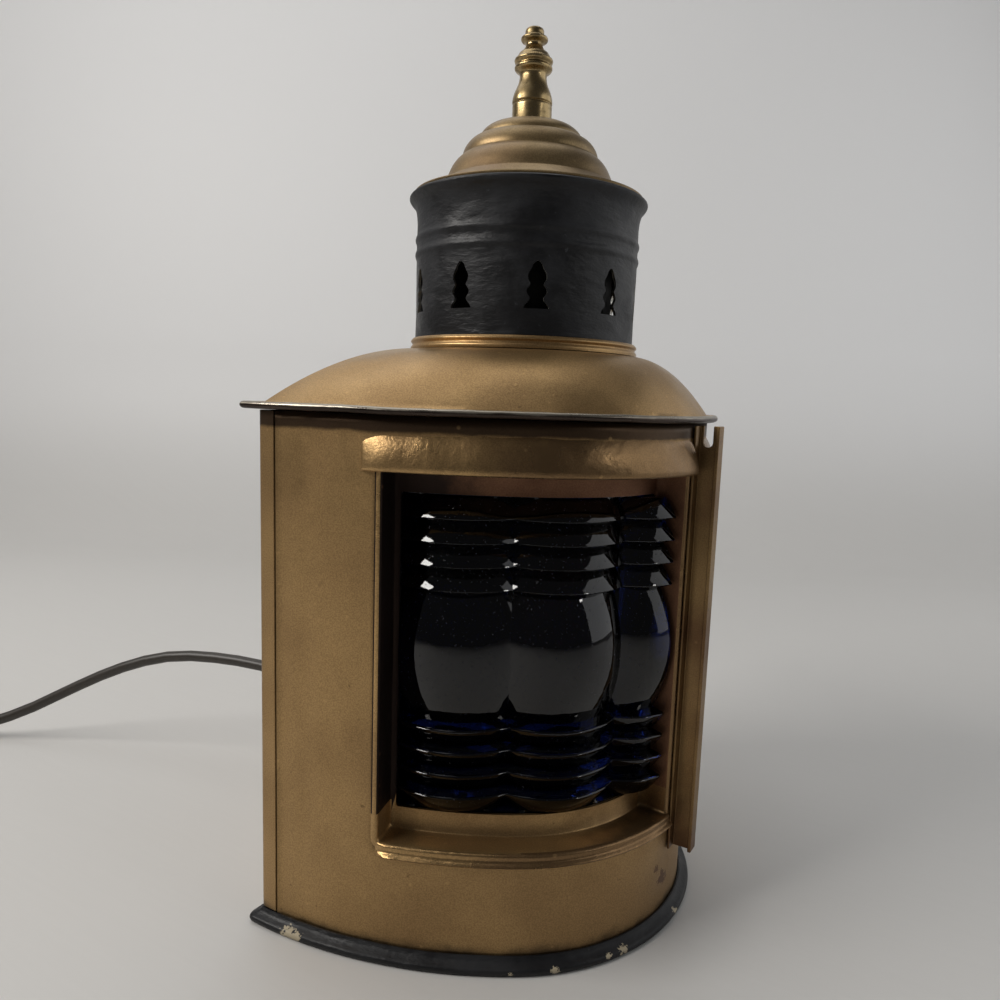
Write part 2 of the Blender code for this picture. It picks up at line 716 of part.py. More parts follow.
def dome_loop(share, outline_offset, shoulder, drop):
    """A loop of the dome, between the case's outline at 0 and the round shoulder at 1."""
    height = DOME_FOOT + (DOME_TOP - DOME_FOOT) * (1 - (1 - share) ** DOME_POWER) - drop
    loop = []
    for point in case_outline(outline_offset, height):
        angle = math.atan2(point.y, point.x)
        goal = Vector((shoulder * math.cos(angle), shoulder * math.sin(angle), height))
        loop.append(point.lerp(goal, share))
    return loop


def round_loop(radius, height):
    """A round loop with the outline's points, for the hood's mouth."""
    loop = []
    for point in case_outline(0.0, height):
        angle = math.atan2(point.y, point.x)
        loop.append(Vector((radius * math.cos(angle), radius * math.sin(angle), height)))
    return loop


def hood():
    """The domed lid with its rolled brim and the round mouth that carries the chimney."""
    middle = HOOD_BOTTOM + BRIM_THICKNESS / 2
    shares = spread(0.0, 1.0, DOME_LOOPS)
    loops = [dome_loop(share, 0.0, HOOD_SHOULDER_RADIUS, 0.0) for share in reversed(shares)]
    top = HOOD_BOTTOM + BRIM_THICKNESS
    inset = 0.9 * MM
    brim = [(1.5 * MM, 1.5 * MM, DOME_FOOT - 0.5 * MM),
            (BRIM_REACH - inset, BRIM_BACK_REACH - inset, top), (BRIM_REACH, BRIM_BACK_REACH, middle),
            (BRIM_REACH - inset, BRIM_BACK_REACH - inset, HOOD_BOTTOM),
            (-2.5 * MM, -2.5 * MM, HOOD_BOTTOM)]
    loops += [case_outline(offset, height, back) for offset, back, height in brim]
    inner = dict(outline_offset=-2.5 * MM, shoulder=HOOD_SHOULDER_RADIUS - SHEET, drop=SHEET)
    loops += [dome_loop(share, **inner) for share in shares]
    loops.append(round_loop(HOOD_MOUTH_RADIUS, DOME_TOP - SHEET))
    loops.append(round_loop(HOOD_MOUTH_RADIUS, DOME_TOP))
    return loft("hood", loops, gold_paint("hood_gold"), ring=True)


def hood_collar():
    """The beaded ring round the chimney's foot."""
    bore = CHIMNEY_RADIUS + GAP
    foot = DOME_TOP + GAP
    bead = COLLAR_HEIGHT / 4
    profile = [(bore, foot + COLLAR_HEIGHT), (COLLAR_RADIUS - 0.7 * MM, foot + COLLAR_HEIGHT),
               (COLLAR_RADIUS, foot + 3 * bead), (COLLAR_RADIUS - 0.6 * MM, foot + 2 * bead),
               (COLLAR_RADIUS, foot + bead), (COLLAR_RADIUS, foot), (bore, foot)]
    return lathe("hood_collar", profile, CHIMNEY_SEGMENTS, gold_paint("collar_gold"), closed=True)


def vent_outline():
    """Half of a vent's outline: a pointed top, two lobes and a flared foot."""
    shares = ((0.0, 1.0), (0.07, 0.88), (0.2, 0.48), (0.36, 0.8), (0.51, 0.5), (0.68, 0.73),
              (0.85, 0.42), (1.0, 0.06))
    side = [(VENT_HALF_WIDTH * width, VENT_BOTTOM + VENT_HEIGHT * up) for up, width in shares]
    return side + [(-x, z) for x, z in reversed(side)]


def chimney():
    """The black barrel: flared rim, two beads and a ring of shaped vents."""
    foot = DOME_TOP + GAP
    bore = CHIMNEY_RADIUS - WALL
    outer = [(CHIMNEY_RIM_RADIUS - 0.5 * MM, CHIMNEY_TOP), (CHIMNEY_RIM_RADIUS, CHIMNEY_TOP - 0.7 * MM),
             (CHIMNEY_RIM_RADIUS - 0.4 * MM, CHIMNEY_TOP - 1.5 * MM),
             (CHIMNEY_RADIUS + 0.9 * MM, CHIMNEY_TOP - 3.6 * MM), (CHIMNEY_RADIUS, CHIMNEY_TOP - 8 * MM)]
    for drop in BEAD_DROPS:
        level = CHIMNEY_TOP - drop
        outer += [(CHIMNEY_RADIUS, level + BEAD_HALF_WIDTH), (CHIMNEY_RADIUS + BEAD_RISE, level),
                  (CHIMNEY_RADIUS, level - BEAD_HALF_WIDTH)]
    outer.append((CHIMNEY_RADIUS, foot))
    inner = [(bore, foot), (bore, CHIMNEY_TOP - 8 * MM), (bore + 0.9 * MM, CHIMNEY_TOP - 3.2 * MM),
             (CHIMNEY_RIM_RADIUS - 1.6 * MM, CHIMNEY_TOP - 0.6 * MM)]
    item = lathe("chimney", outer + inner, CHIMNEY_SEGMENTS, black_paint("chimney_black"), closed=True)
    work = bmesh.new()
    for bearing in VENT_BEARINGS:
        turn = Matrix.Rotation(math.radians(bearing), 4, "Z")
        ends = []
        for reach in (CHIMNEY_RADIUS - 4 * WALL, CHIMNEY_RADIUS + 4 * WALL):
            ends.append([work.verts.new(turn @ Vector((reach, x, z))) for x, z in vent_outline()])
        count = len(ends[0])
        for i in range(count):
            j = (i + 1) % count
            work.faces.new((ends[0][i], ends[0][j], ends[1][j], ends[1][i]))
        work.faces.new(ends[0])
        work.faces.new(ends[1])
    bmesh.ops.recalc_face_normals(work, faces=work.faces)
    mesh = bpy.data.meshes.new("vents")
    work.to_mesh(mesh)
    work.free()
    boolean(item, add_object("vents", mesh, None, cutter=True))
    return item


def draught_tube():
    """The inner tube behind the vents, standing on the hood's mouth by its flange."""
    foot = DOME_TOP + GAP
    profile = [(TUBE_RADIUS, TUBE_TOP), (TUBE_RADIUS, foot + SHEET), (TUBE_FLANGE_RADIUS, foot + SHEET),
               (TUBE_FLANGE_RADIUS, foot), (TUBE_RADIUS - SHEET, foot), (TUBE_RADIUS - SHEET, TUBE_TOP)]
    return lathe("draught_tube", profile, TUBE_SEGMENTS, steel("tube_steel"), closed=True)


def cap_outline():
    """The cap's upper side as (radius, height): three rounded tiers below its crown."""
    points = [(CAP_CROWN_RADIUS, CAP_TOP)]
    levels = (*(CAP_TOP - drop for drop in CAP_TIER_DROPS), CHIMNEY_TOP + GAP + SHEET)
    for radius, level in zip(CAP_TIER_RADII, levels):
        start, top = points[-1]
        for out, down in ((0.3, 0.12), (0.6, 0.35), (0.86, 0.68), (1.0, 1.0)):
            points.append((start + out * (radius - start), top + down * (level - top)))
    return points


def chimney_cap():
    """The stepped cap that plugs the chimney's top."""
    seat = CHIMNEY_TOP + GAP
    skirt = CHIMNEY_RADIUS - WALL - GAP
    upper = cap_outline()
    outside = upper + [(CAP_FLANGE_RADIUS, seat + SHEET), (CAP_FLANGE_RADIUS, seat), (skirt, seat),
                       (skirt, seat - CAP_SKIRT_DEPTH), (skirt - SHEET, seat - CAP_SKIRT_DEPTH)]
    inside = [(radius - SHEET, height - SHEET) for radius, height in reversed(upper[::2])]
    inside[0] = (skirt - SHEET, seat)
    bore = STUD_RADIUS + GAP
    profile = [(bore, CAP_TOP)] + outside + inside + [(bore, CAP_TOP - SHEET)]
    return lathe("chimney_cap", profile, CAP_SEGMENTS, gold_paint("cap_gold"), closed=True)


def finial():
    """The turned brass finial, bored for the stud that it screws on."""
    foot = CAP_TOP + GAP
    r = FINIAL_RADIUS
    h = FINIAL_HEIGHT
    shares = ((0.3, 1.0), (0.46, 0.985), (0.47, 0.914), (0.65, 0.895), (0.62, 0.858), (0.41, 0.838),
              (0.58, 0.768), (0.8, 0.71), (0.95, 0.675), (0.93, 0.645), (0.84, 0.628), (0.93, 0.587),
              (0.68, 0.527), (0.74, 0.435), (0.93, 0.333), (1.0, 0.27), (1.0, 0.235), (0.93, 0.222),
              (0.99, 0.205), (0.97, 0.0))
    outside = [(0.0, foot + h)] + [(r * width, foot + h * up) for width, up in shares]
    bore = STUD_RADIUS + GAP
    deep = foot + STUD_INTO_FINIAL + GAP
    profile = outside + [(bore, foot), (bore, deep), (0.0, deep)]
    item = lathe("finial", profile, FINIAL_SEGMENTS, brass("finial_brass"))
    return item


def finial_fixings():
    """The stud through the cap, with the washer and nut under it."""
    top = CAP_TOP + GAP + STUD_INTO_FINIAL
    under = CAP_TOP - SHEET - GAP
    low = under - WASHER_THICKNESS - GAP - STUD_BELOW_CAP
    lathe("finial_stud", [(0.0, top), (STUD_RADIUS, top), (STUD_RADIUS, low), (0.0, low)], 12,
          steel("stud_steel"))
    bore = STUD_RADIUS + GAP
    lathe("finial_washer", [(bore, under), (WASHER_RADIUS, under),
                            (WASHER_RADIUS, under - WASHER_THICKNESS),
                            (bore, under - WASHER_THICKNESS)], 16, steel("washer_steel"), closed=True)
    nut_top = under - WASHER_THICKNESS - GAP
    flat("finial_nut", [hexagon(STUD_NUT_WIDTH), circle(bore, 12)], STUD_NUT_HEIGHT,
         Matrix.Translation((0.0, 0.0, nut_top - STUD_NUT_HEIGHT / 2)), steel("nut_steel"))


def along_hinge(name, outlines, length, centre, finish, cutter=False):
    """A flat shape in X and Z, extruded along the hinge's axis about a centre in Y."""
    place = Matrix.Translation((0.0, centre, 0.0)) @ Matrix.Rotation(math.pi / 2, 4, "X")
    return flat(name, outlines, length, place, finish, cutter)


def knuckled(name, item, centres):
    """Join a bored knuckle to a leaf at each centre along the hinge."""
    axis = (HINGE_X, HINGE_Z)
    for number, centre in enumerate(centres):
        knuckle = along_hinge(f"{name}_knuckle_{number}", [circle(KNUCKLE_RADIUS, 12, axis)],
                              KNUCKLE_LENGTH, centre, None, cutter=True)
        boolean(item, knuckle, "UNION")
    bore = along_hinge(name + "_bore", [circle(PIN_RADIUS + GAP, 10, axis)], 4 * KNUCKLE_LENGTH, 0.0,
                       None, cutter=True)
    boolean(item, bore)


def hinge():
    """The hinge that lets the hood swing back: a leaf on the back, a tab under the brim, a pin."""
    step = KNUCKLE_LENGTH + GAP
    outer = BACK_FACE_X - GAP
    inner = outer - LEAF_THICKNESS
    low = CASE_TOP - LEAF_DROP
    plate = [(outer, HINGE_Z), (outer, low), (inner, low), (inner, HINGE_Z)]
    leaf = along_hinge("hinge_leaf_back", [plate], 3 * KNUCKLE_LENGTH + 2 * GAP, 0.0,
                       brass("hinge_back_brass"))
    reach = KNUCKLE_RADIUS + GAP
    room = [(HINGE_X + x, HINGE_Z + z) for x, z in ((-reach, -reach), (reach, -reach),
                                                     (reach, reach), (-reach, reach))]
    boolean(leaf, along_hinge("knuckle_room", [room], KNUCKLE_LENGTH + 2 * GAP, 0.0, None, cutter=True))
    knuckled("hinge_leaf_back", leaf, (-step, step))
    top = HOOD_BOTTOM - GAP
    back = HINGE_X - TAB_REACH
    tab = [(HINGE_X, top), (HINGE_X, top - LEAF_THICKNESS), (back, top - LEAF_THICKNESS), (back, top)]
    leaf = along_hinge("hinge_leaf_hood", [tab], KNUCKLE_LENGTH, 0.0, brass("hinge_hood_brass"))
    knuckled("hinge_leaf_hood", leaf, (0.0,))
    half = 1.5 * KNUCKLE_LENGTH + 1.2 * MM
    pin = lathe("hinge_pin", [(0.0, half), (PIN_RADIUS, half), (PIN_RADIUS, -half), (0.0, -half)],
                10, steel("pin_steel"))
    pin.location = (HINGE_X, 0.0, HINGE_Z)
    pin.rotation_euler = (math.pi / 2, 0.0, 0.0)


def socket_strap():
    """The bridge on the floor that carries the socket, bored for the nipple."""
    floor = FLOOR_THICKNESS + GAP
    half = STRAP_SPAN / 2
    t = STRAP_THICKNESS
    side = [(half + STRAP_FOOT, floor), (half + STRAP_FOOT, floor + t), (half + t, floor + t),
            (half, SOCKET_SEAT)]
    inner = [(half - t, SOCKET_SEAT - t), (half, floor)]
    outline = side + [(-x, z) for x, z in reversed(side)] + [(-x, z) for x, z in reversed(inner)]
    outline += inner
    item = flat("socket_strap", [outline], STRAP_WIDTH,
                Matrix.Rotation(math.pi / 2, 4, "Z") @ Matrix.Rotation(math.pi / 2, 4, "X"),
                steel("strap_steel"))
    radius = NIPPLE_RADIUS + GAP
    bore = lathe("strap_bore", [(0.0, 0.01), (radius, 0.01), (radius, -0.01), (0.0, -0.01)], 16, None,
                 cutter=True)
    bore.location = (0.0, 0.0, SOCKET_SEAT)
    boolean(item, bore)
    return item


def socket_parts():
    """Nipple, locknuts, and the socket's cap, shell, liner and screw shell."""
    strap_low = SOCKET_SEAT - STRAP_THICKNESS
    low = strap_low - NIPPLE_BELOW
    high = SOCKET_SEAT + NIPPLE_ABOVE
    lathe("socket_nipple", [(NIPPLE_RADIUS, high), (NIPPLE_RADIUS, low), (NIPPLE_BORE, low),
                            (NIPPLE_BORE, high)], 16, brass("nipple_brass"), closed=True)
    nut = flat("nipple_locknut", [hexagon(LOCKNUT_WIDTH), circle(NIPPLE_RADIUS + GAP, 16)],
               LOCKNUT_HEIGHT, Matrix.Translation((0, 0, strap_low - GAP - LOCKNUT_HEIGHT / 2)),
               brass("locknut_brass"))
    seat = SOCKET_SEAT + GAP
    cap_top = seat + SOCKET_CAP_HEIGHT
    bore = NIPPLE_RADIUS + GAP
    wall = SHEET
    lathe("socket_cap", [(SOCKET_RADIUS, cap_top), (SOCKET_RADIUS, cap_top - 4 * MM),
                         (SOCKET_RADIUS - 1.2 * MM, cap_top - 6.5 * MM),
                         (SOCKET_RADIUS - 5 * MM, seat + 3.2 * MM), (NIPPLE_RADIUS + 2.4 * MM, seat + 2.4 * MM),
                         (NIPPLE_RADIUS + 2.4 * MM, seat), (bore, seat), (bore, seat + 4.4 * MM),
                         (SOCKET_RADIUS - 6 * MM, seat + 4.6 * MM),
                         (SOCKET_RADIUS - wall - 1.2 * MM, cap_top - 5.6 * MM),
                         (SOCKET_RADIUS - wall, cap_top - 3.6 * MM), (SOCKET_RADIUS - wall, cap_top)],
          SOCKET_SEGMENTS, brass("socket_cap_brass"), closed=True)
    shell_low = cap_top + GAP
    shell_top = shell_low + SOCKET_SHELL_HEIGHT
    r = SOCKET_RADIUS
    shell = lathe("socket_shell", [(r - 0.3 * MM, shell_top), (r + 0.5 * MM, shell_top - 1.0 * MM),
                                   (r - 0.5 * MM, shell_top - 2.2 * MM),
                                   (r - 0.5 * MM, shell_low + 10 * MM), (r, shell_low + 8.5 * MM),
                                   (r, shell_low), (r - wall, shell_low),
                                   (r - wall - 0.5 * MM, shell_low + 10 * MM),
                                   (r - wall - 0.5 * MM, shell_top)],
                  SOCKET_SEGMENTS, brass("socket_shell_brass"), closed=True)
    hole_radius = SWITCH_STEM_RADIUS + 2 * GAP
    hole = lathe("switch_hole", [(0.0, 2 * r), (hole_radius, 2 * r), (hole_radius, 0.3 * r),
                                 (0.0, 0.3 * r)], 12, None, cutter=True)
    hole.matrix_world = switch_place(shell_low)
    boolean(shell, hole)
    liner = r - wall - 0.5 * MM - GAP
    liner_low = shell_low + SWITCH_HEIGHT + 5 * MM
    lathe("socket_liner", [(liner, shell_top - 0.5 * MM), (liner, liner_low),
                           (liner - LINER_THICKNESS, liner_low),
                           (liner - LINER_THICKNESS, shell_top - 0.5 * MM)],
          SOCKET_SEGMENTS, material("liner_card", (0.35, 0.24, 0.13), 0.9), closed=True)
    screw_low = shell_top - SCREW_SHELL_HEIGHT
    body_top = screw_low - GAP
    body = lathe("socket_interior", [(0.0, body_top), (liner, body_top),
                                     (liner, shell_low + 1 * MM), (0.0, shell_low + 1 * MM)],
                 SOCKET_SEGMENTS, material("interior_porcelain", (0.75, 0.73, 0.68), 0.4))
    boolean(body, hole)
    s = SCREW_SHELL_RADIUS
    lathe("screw_shell", [(s, shell_top - 1.5 * MM), (s, screw_low), (s - SHEET, screw_low),
                          (s - SHEET, shell_top - 1.5 * MM)], SOCKET_SEGMENTS,
          brass("screw_shell_brass"), closed=True)
    return nut, shell_low, shell_top, screw_low


def switch_place(shell_low):
    """Where the switch's stem lies: level, and turned round the socket."""
    height = shell_low + SWITCH_HEIGHT
    lift = Matrix.Translation((0.0, 0.0, height)) @ Matrix.Rotation(SWITCH_ANGLE, 4, "Z")
    return lift @ Matrix.Rotation(math.pi / 2, 4, "Y")


def switch_knob(shell_low):
    """The turn knob on its stem, which reaches into the socket's interior."""
    inner = 0.3 * SOCKET_RADIUS + GAP
    knob_low = SOCKET_RADIUS + SWITCH_REACH - SWITCH_KNOB_LENGTH
    knob_high = SOCKET_RADIUS + SWITCH_REACH
    k = SWITCH_KNOB_RADIUS
    stem = SWITCH_STEM_RADIUS
    item = lathe("switch_knob", [(0.0, knob_high), (k - 1.0 * MM, knob_high), (k, knob_high - 1.2 * MM),
                                 (k, knob_low + 3 * MM), (stem + 1.0 * MM, knob_low), (stem, knob_low),
                                 (stem, inner), (0.0, inner)], 14,
                 material("knob_black", (0.02, 0.02, 0.02), 0.35))
    item.matrix_world = switch_place(shell_low)
    cut = flat("knob_flats", [[(k - 1.9 * MM, -9 * MM), (9 * MM, -9 * MM), (9 * MM, 9 * MM),
                               (k - 1.9 * MM, 9 * MM)],
                              ], SWITCH_KNOB_LENGTH - 3 * MM,
               switch_place(shell_low) @ Matrix.Translation((0, 0, knob_high - 1.5 * MM)), None,
               cutter=True)
    boolean(item, cut)
    return item


def bulb(screw_low, shell_top):
    """The bulb: its screw base with the contact, and the glass."""
    low = screw_low + 1.2 * MM
    top = low + BULB_BASE_HEIGHT
    b = BULB_BASE_RADIUS
    ridge = 0.5 * MM
    profile = [(0.0, top), (b, top)]
    for step in range(4):
        height = top - 3 * MM - step * 3.4 * MM
        profile += [(b - ridge, height), (b, height - 1.7 * MM)]
    profile += [(b - 1.5 * MM, low + 3.2 * MM), (3.4 * MM, low + 1.4 * MM), (3.0 * MM, low), (0.0, low)]
    lathe("bulb_base", profile, SOCKET_SEGMENTS, steel("bulb_base_nickel"))
    foot = top + GAP
    g = BULB_RADIUS
    neck = b - 0.6 * MM
    points = []
    centre = foot + BULB_HEIGHT - g
    for turn in spread(math.pi / 2, -0.9, 8):
        points.append((g * math.cos(turn), centre + g * math.sin(turn)))
    points[0] = (0.0, centre + g)
    profile = points + [(neck + 1.6 * MM, foot + 7 * MM), (neck, foot), (0.0, foot)]
    lathe("bulb_glass", profile, SOCKET_SEGMENTS, material("bulb_frost", (0.9, 0.88, 0.82), 0.3, 0, 0.3))


def smooth_route(knots, spacing):
    """Evenly spaced points on a smooth curve through the knots."""
    padded = [2 * knots[0] - knots[1]] + knots + [2 * knots[-1] - knots[-2]]
    fine = []
    for i in range(1, len(padded) - 2):
        a, b, c, d = padded[i - 1:i + 3]
        for step in range(16):
            t = step / 16
            fine.append(0.5 * (2 * b + (c - a) * t + (2 * a - 5 * b + 4 * c - d) * t * t
                               + (3 * b - a - 3 * c + d) * t ** 3))
    fine.append(knots[-1])
    lengths = [0.0]
    for before, after in zip(fine, fine[1:]):
        lengths.append(lengths[-1] + (after - before).length)
    count = max(2, round(lengths[-1] / spacing))
    points = []
    place = 0
    for number in range(count + 1):
        goal = lengths[-1] * number / count
        while place < len(fine) - 2 and lengths[place + 1] < goal:
            place += 1
        share = (goal - lengths[place]) / max(lengths[place + 1] - lengths[place], 1e-9)
        points.append(fine[place].lerp(fine[place + 1], min(1.0, share)))
    return points


def coil_points():
    """The coil's centre line: in along the floor, up a layer, and out again on top."""
    end = Vector(CORD_END_MM) * MM
    before = Vector(CORD_ROUTE_MM[-1]) * MM
    heading = (end - before).xy.normalized()
    start = end.xy + heading * GAP
    across = Vector((-heading.y, heading.x))
    outer = COIL_INNER_RADIUS + COIL_TURNS * COIL_PITCH
    straight = start + heading * CORD_DIAMETER
    centre = straight + across * outer
    first = math.atan2(-across.y, -across.x)
    layer = CORD_DIAMETER / 2 + 0.1 * MM
    total = 2 * COIL_TURNS + 0.5
    points = [Vector((*start, layer)), Vector((*start.lerp(straight, 0.55), layer))]
    count = round(total * COIL_POINTS_PER_TURN)
    for number in range(count + 1):
        turns = total * number / count
        if turns <= COIL_TURNS:
            radius = outer - COIL_PITCH * turns
            height = layer
        elif turns <= COIL_TURNS + 0.5:
            share = (turns - COIL_TURNS) / 0.5
            radius = COIL_INNER_RADIUS - COIL_DIP * math.sin(math.pi * share)
            height = layer + COIL_PITCH * share
        else:
            radius = COIL_INNER_RADIUS + COIL_PITCH * (turns - COIL_TURNS - 0.5)
            height = layer + COIL_PITCH
        angle = first + 2 * math.pi * turns
        points.append(Vector((centre.x + radius * math.cos(angle), centre.y + radius * math.sin(angle),
                              height)))
    last = first + 2 * math.pi * total
    leave = Vector((-math.sin(last), math.cos(last), 0.0))
    points.append(points[-1] + leave * 0.55 * CORD_DIAMETER)
    points.append(points[-1] + leave * 0.45 * CORD_DIAMETER)
    return points, leave


def least_gap(points, diameter):
    """The smallest clear distance between stretches that aren't neighbours."""
    least = None
    apart = 10
    for i, low in enumerate(points):
        for j in range(i + apart, len(points) - 1):
            start = points[j]
            run = points[j + 1] - start
            share = max(0.0, min(1.0, (low - start).dot(run) / run.length_squared))
            gap = (low - start - run * share).length - diameter
            least = gap if least is None else min(least, gap)
    return least


def cord_relief():
    """The moulded bush in the back plate: an inside head, a neck and a tapered tail."""
    outside = BACK_FACE_X - GAP
    inside = BACK_X
    head = 2.0 * MM
    bore = CORD_DIAMETER / 2 + GAP
    tail = outside - RELIEF_LENGTH
    profile = [(bore, tail), (bore + 0.9 * MM, tail), (RELIEF_RADIUS - 0.4 * MM, outside - head),
               (RELIEF_FLANGE_RADIUS, outside - head), (RELIEF_FLANGE_RADIUS, outside),
               (RELIEF_RADIUS, outside), (RELIEF_RADIUS, inside), (RELIEF_FLANGE_RADIUS, inside),
               (RELIEF_FLANGE_RADIUS, inside + head), (bore, inside + head)]
    turned = [(radius, -x) for radius, x in profile]
    item = lathe("cord_relief", turned, 14, rubber("relief_rubber"), closed=True)
    item.location = (0.0, 0.0, CORD_EXIT_HEIGHT)
    item.rotation_euler = (0.0, -math.pi / 2, 0.0)
    return tail, inside + head


def lead(tail, inside):
    """The lead: its inner end up to the socket, its free stretch and its coil."""
    finish = rubber("cord_brown")
    up = SOCKET_SEAT - STRAP_THICKNESS - NIPPLE_BELOW - GAP
    hand_laid = ((-37.0, -1.0, 43.4), (-31.0, -3.0, 34.0), (-27.0, -4.0, 21.0),
                 (-20.0, -2.5, 9.8), (-9.0, -0.5, 5.2), (-1.8, 0.0, 8.2))
    inner = [Vector((tail + GAP, 0.0, CORD_EXIT_HEIGHT)), Vector((inside, 0.0, CORD_EXIT_HEIGHT))]
    inner += [Vector(point) * MM for point in hand_laid] + [Vector((0.0, 0.0, up))]
    tube("inner_lead", smooth_route(inner, 5.5 * MM), INNER_LEAD_DIAMETER, 2, finish)
    start = Vector((tail, 0.0, CORD_EXIT_HEIGHT))
    knots = [start] + [Vector(point) * MM for point in CORD_ROUTE_MM] + [Vector(CORD_END_MM) * MM]
    free = smooth_route(knots, CORD_POINT_SPACING)
    tube("cord", free, CORD_DIAMETER, 2, finish)
    coil, leave = coil_points()
    tube("cord_coil", coil, CORD_DIAMETER, 1, finish)
    length = sum((b - a).length for a, b in zip(free, free[1:]))
    length += sum((b - a).length for a, b in zip(coil, coil[1:]))
    print("lead outside the case, m:", round(length, 4))
    print("coil's least gap to itself, mm:", round(least_gap(coil, CORD_DIAMETER) / MM, 3))
    return coil[-1], leave


def rounded_loop(half_width, half_height, corner, distance):
    """A rounded rectangle across the plug's axis, with 16 points."""
    loop = []
    for quarter, (sx, sy) in enumerate(((1, 1), (-1, 1), (-1, -1), (1, -1))):
        for step in range(4):
            turn = math.pi / 2 * (quarter + step / 3)
            loop.append(Vector((distance, sx * (half_width - corner) + corner * math.cos(turn),
                                sy * (half_height - corner) + corner * math.sin(turn))))
    return loop


def plug(end, heading):
    """The moulded plug with its tapered tail, and its two blades."""
    place = Matrix.Translation(end) @ Matrix.Rotation(math.atan2(heading.y, heading.x), 4, "Z")
    thin = CORD_DIAMETER / 2 + 0.4 * MM
    tail = PLUG_RELIEF_LENGTH
    wide = PLUG_WIDTH / 2
    high = PLUG_HEIGHT / 2
    sections = ((thin, thin, thin * 0.98, GAP), (thin + 1.8 * MM, thin + 1.8 * MM, thin + 1.7 * MM, tail),
                (wide - 3 * MM, high - 1.2 * MM, 4 * MM, tail + 2.5 * MM),
                (wide - 0.6 * MM, high, 3 * MM, tail + 6 * MM),
                (wide, high, 2.5 * MM, tail + PLUG_LENGTH - 1 * MM),
                (wide - 0.8 * MM, high - 0.8 * MM, 2.0 * MM, tail + PLUG_LENGTH))
    item = loft("plug", [rounded_loop(*section) for section in sections], rubber("plug_brown"))
    item.matrix_world = place
    middle = tail + PLUG_LENGTH + GAP + BLADE_LENGTH / 2
    for side, label in ((-1, "right"), (1, "left")):
        work = bmesh.new()
        bmesh.ops.create_cube(work, size=1.0, matrix=Matrix.Diagonal(
            (BLADE_LENGTH, BLADE_THICKNESS, BLADE_WIDTH, 1.0)))
        mesh = bpy.data.meshes.new("plug_blade_" + label)
        work.to_mesh(mesh)
        work.free()
        blade = add_object("plug_blade_" + label, mesh, brass(label + "_blade_brass"))
        blade.matrix_world = place @ Matrix.Translation((middle, side * BLADE_SPACING / 2, 0.0))


def hang_on_hinge(names):
    """Parent the pieces that swing back to an empty on the hinge's axis."""
    pivot = bpy.data.objects.new("hood_pivot", None)
    pivot.location = (HINGE_X, 0.0, HINGE_Z)
    bpy.data.collections["bow_lantern"].objects.link(pivot)
    for name in names:
        item = bpy.data.objects[name]
        item.parent = pivot
        item.matrix_parent_inverse = Matrix.Translation(pivot.location).inverted()


def main():
    """Build the lantern."""
    start_clean()
    base_pan()
    body_shell()
    back_plate()
    for side, label, colour in ((STARBOARD, "starboard", (0.01, 0.03, 0.16)),
                                (PORT, "port", (0.35, 0.01, 0.008))):
        lens_frame(side, label)
        lens(side, label, colour)
        lens_retainer(side, label)
    bow_fin()
    hood()
    hood_collar()
    chimney()
    draught_tube()
    chimney_cap()
    finial()
    finial_fixings()
    hinge()
    socket_strap()
    nut, shell_low, shell_top, screw_low = socket_parts()
    switch_knob(shell_low)
    bulb(screw_low, shell_top)
    tail, inside = cord_relief()
    end, heading = lead(tail, inside)
    plug(end, heading)
    hang_on_hinge(("hood", "hood_collar", "chimney", "vents", "draught_tube", "chimney_cap", "finial",
                   "finial_stud", "finial_washer", "finial_nut", "hinge_leaf_hood"))


main()
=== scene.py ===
"""Bow lantern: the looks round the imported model.

The file is laid out as a Blender add-on and is run as a script. All lengths are in metres,
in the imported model's own frame: the nose points along +X, port is +Y and up is +Z.
"""
import math

import bmesh
import bpy
from bpy.props import FloatProperty, FloatVectorProperty, IntProperty, PointerProperty
from bpy.types import Operator, Panel, PropertyGroup
from mathutils import Matrix, Vector, noise


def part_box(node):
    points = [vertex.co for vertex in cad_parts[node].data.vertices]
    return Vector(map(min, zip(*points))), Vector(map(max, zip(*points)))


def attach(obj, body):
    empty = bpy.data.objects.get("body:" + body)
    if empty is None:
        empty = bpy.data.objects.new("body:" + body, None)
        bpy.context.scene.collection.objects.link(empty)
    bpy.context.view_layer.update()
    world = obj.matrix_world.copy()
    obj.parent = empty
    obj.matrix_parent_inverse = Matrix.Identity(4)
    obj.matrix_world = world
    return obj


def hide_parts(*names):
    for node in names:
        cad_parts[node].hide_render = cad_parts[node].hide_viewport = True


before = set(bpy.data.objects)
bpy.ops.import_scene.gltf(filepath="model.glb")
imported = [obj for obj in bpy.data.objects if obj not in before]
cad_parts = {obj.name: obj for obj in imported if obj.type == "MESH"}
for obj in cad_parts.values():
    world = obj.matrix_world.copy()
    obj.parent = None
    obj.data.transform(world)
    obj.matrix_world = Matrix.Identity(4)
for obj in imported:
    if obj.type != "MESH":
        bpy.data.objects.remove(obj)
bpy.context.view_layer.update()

bl_info = {
    "name": "Bow lantern",
    "version": (1, 0, 0),
    "blender": (4, 5, 0),
    "location": "3D View > Sidebar > Lantern",
    "description": "Builds the painted case, lenses, chimney and lead of a bow lantern",
    "category": "Add Mesh",
}

MM = 0.001
# Space left between neighbouring pieces
GAP = 0.3 * MM
# Points closer than this are welded
WELD = 0.001 * MM
# Radius of the hole for the finial's stud
STUD_HOLE = 2.7 * MM
STARBOARD = -1
PORT = 1


def length(name, text, size):
    """A length property, given in millimetres."""
    return FloatProperty(name=name, description=text, default=size * MM, unit="LENGTH", precision=4)


def turn(name, text, degrees):
    """An angle property, given in degrees."""
    return FloatProperty(name=name, description=text, default=math.radians(degrees), subtype="ANGLE")


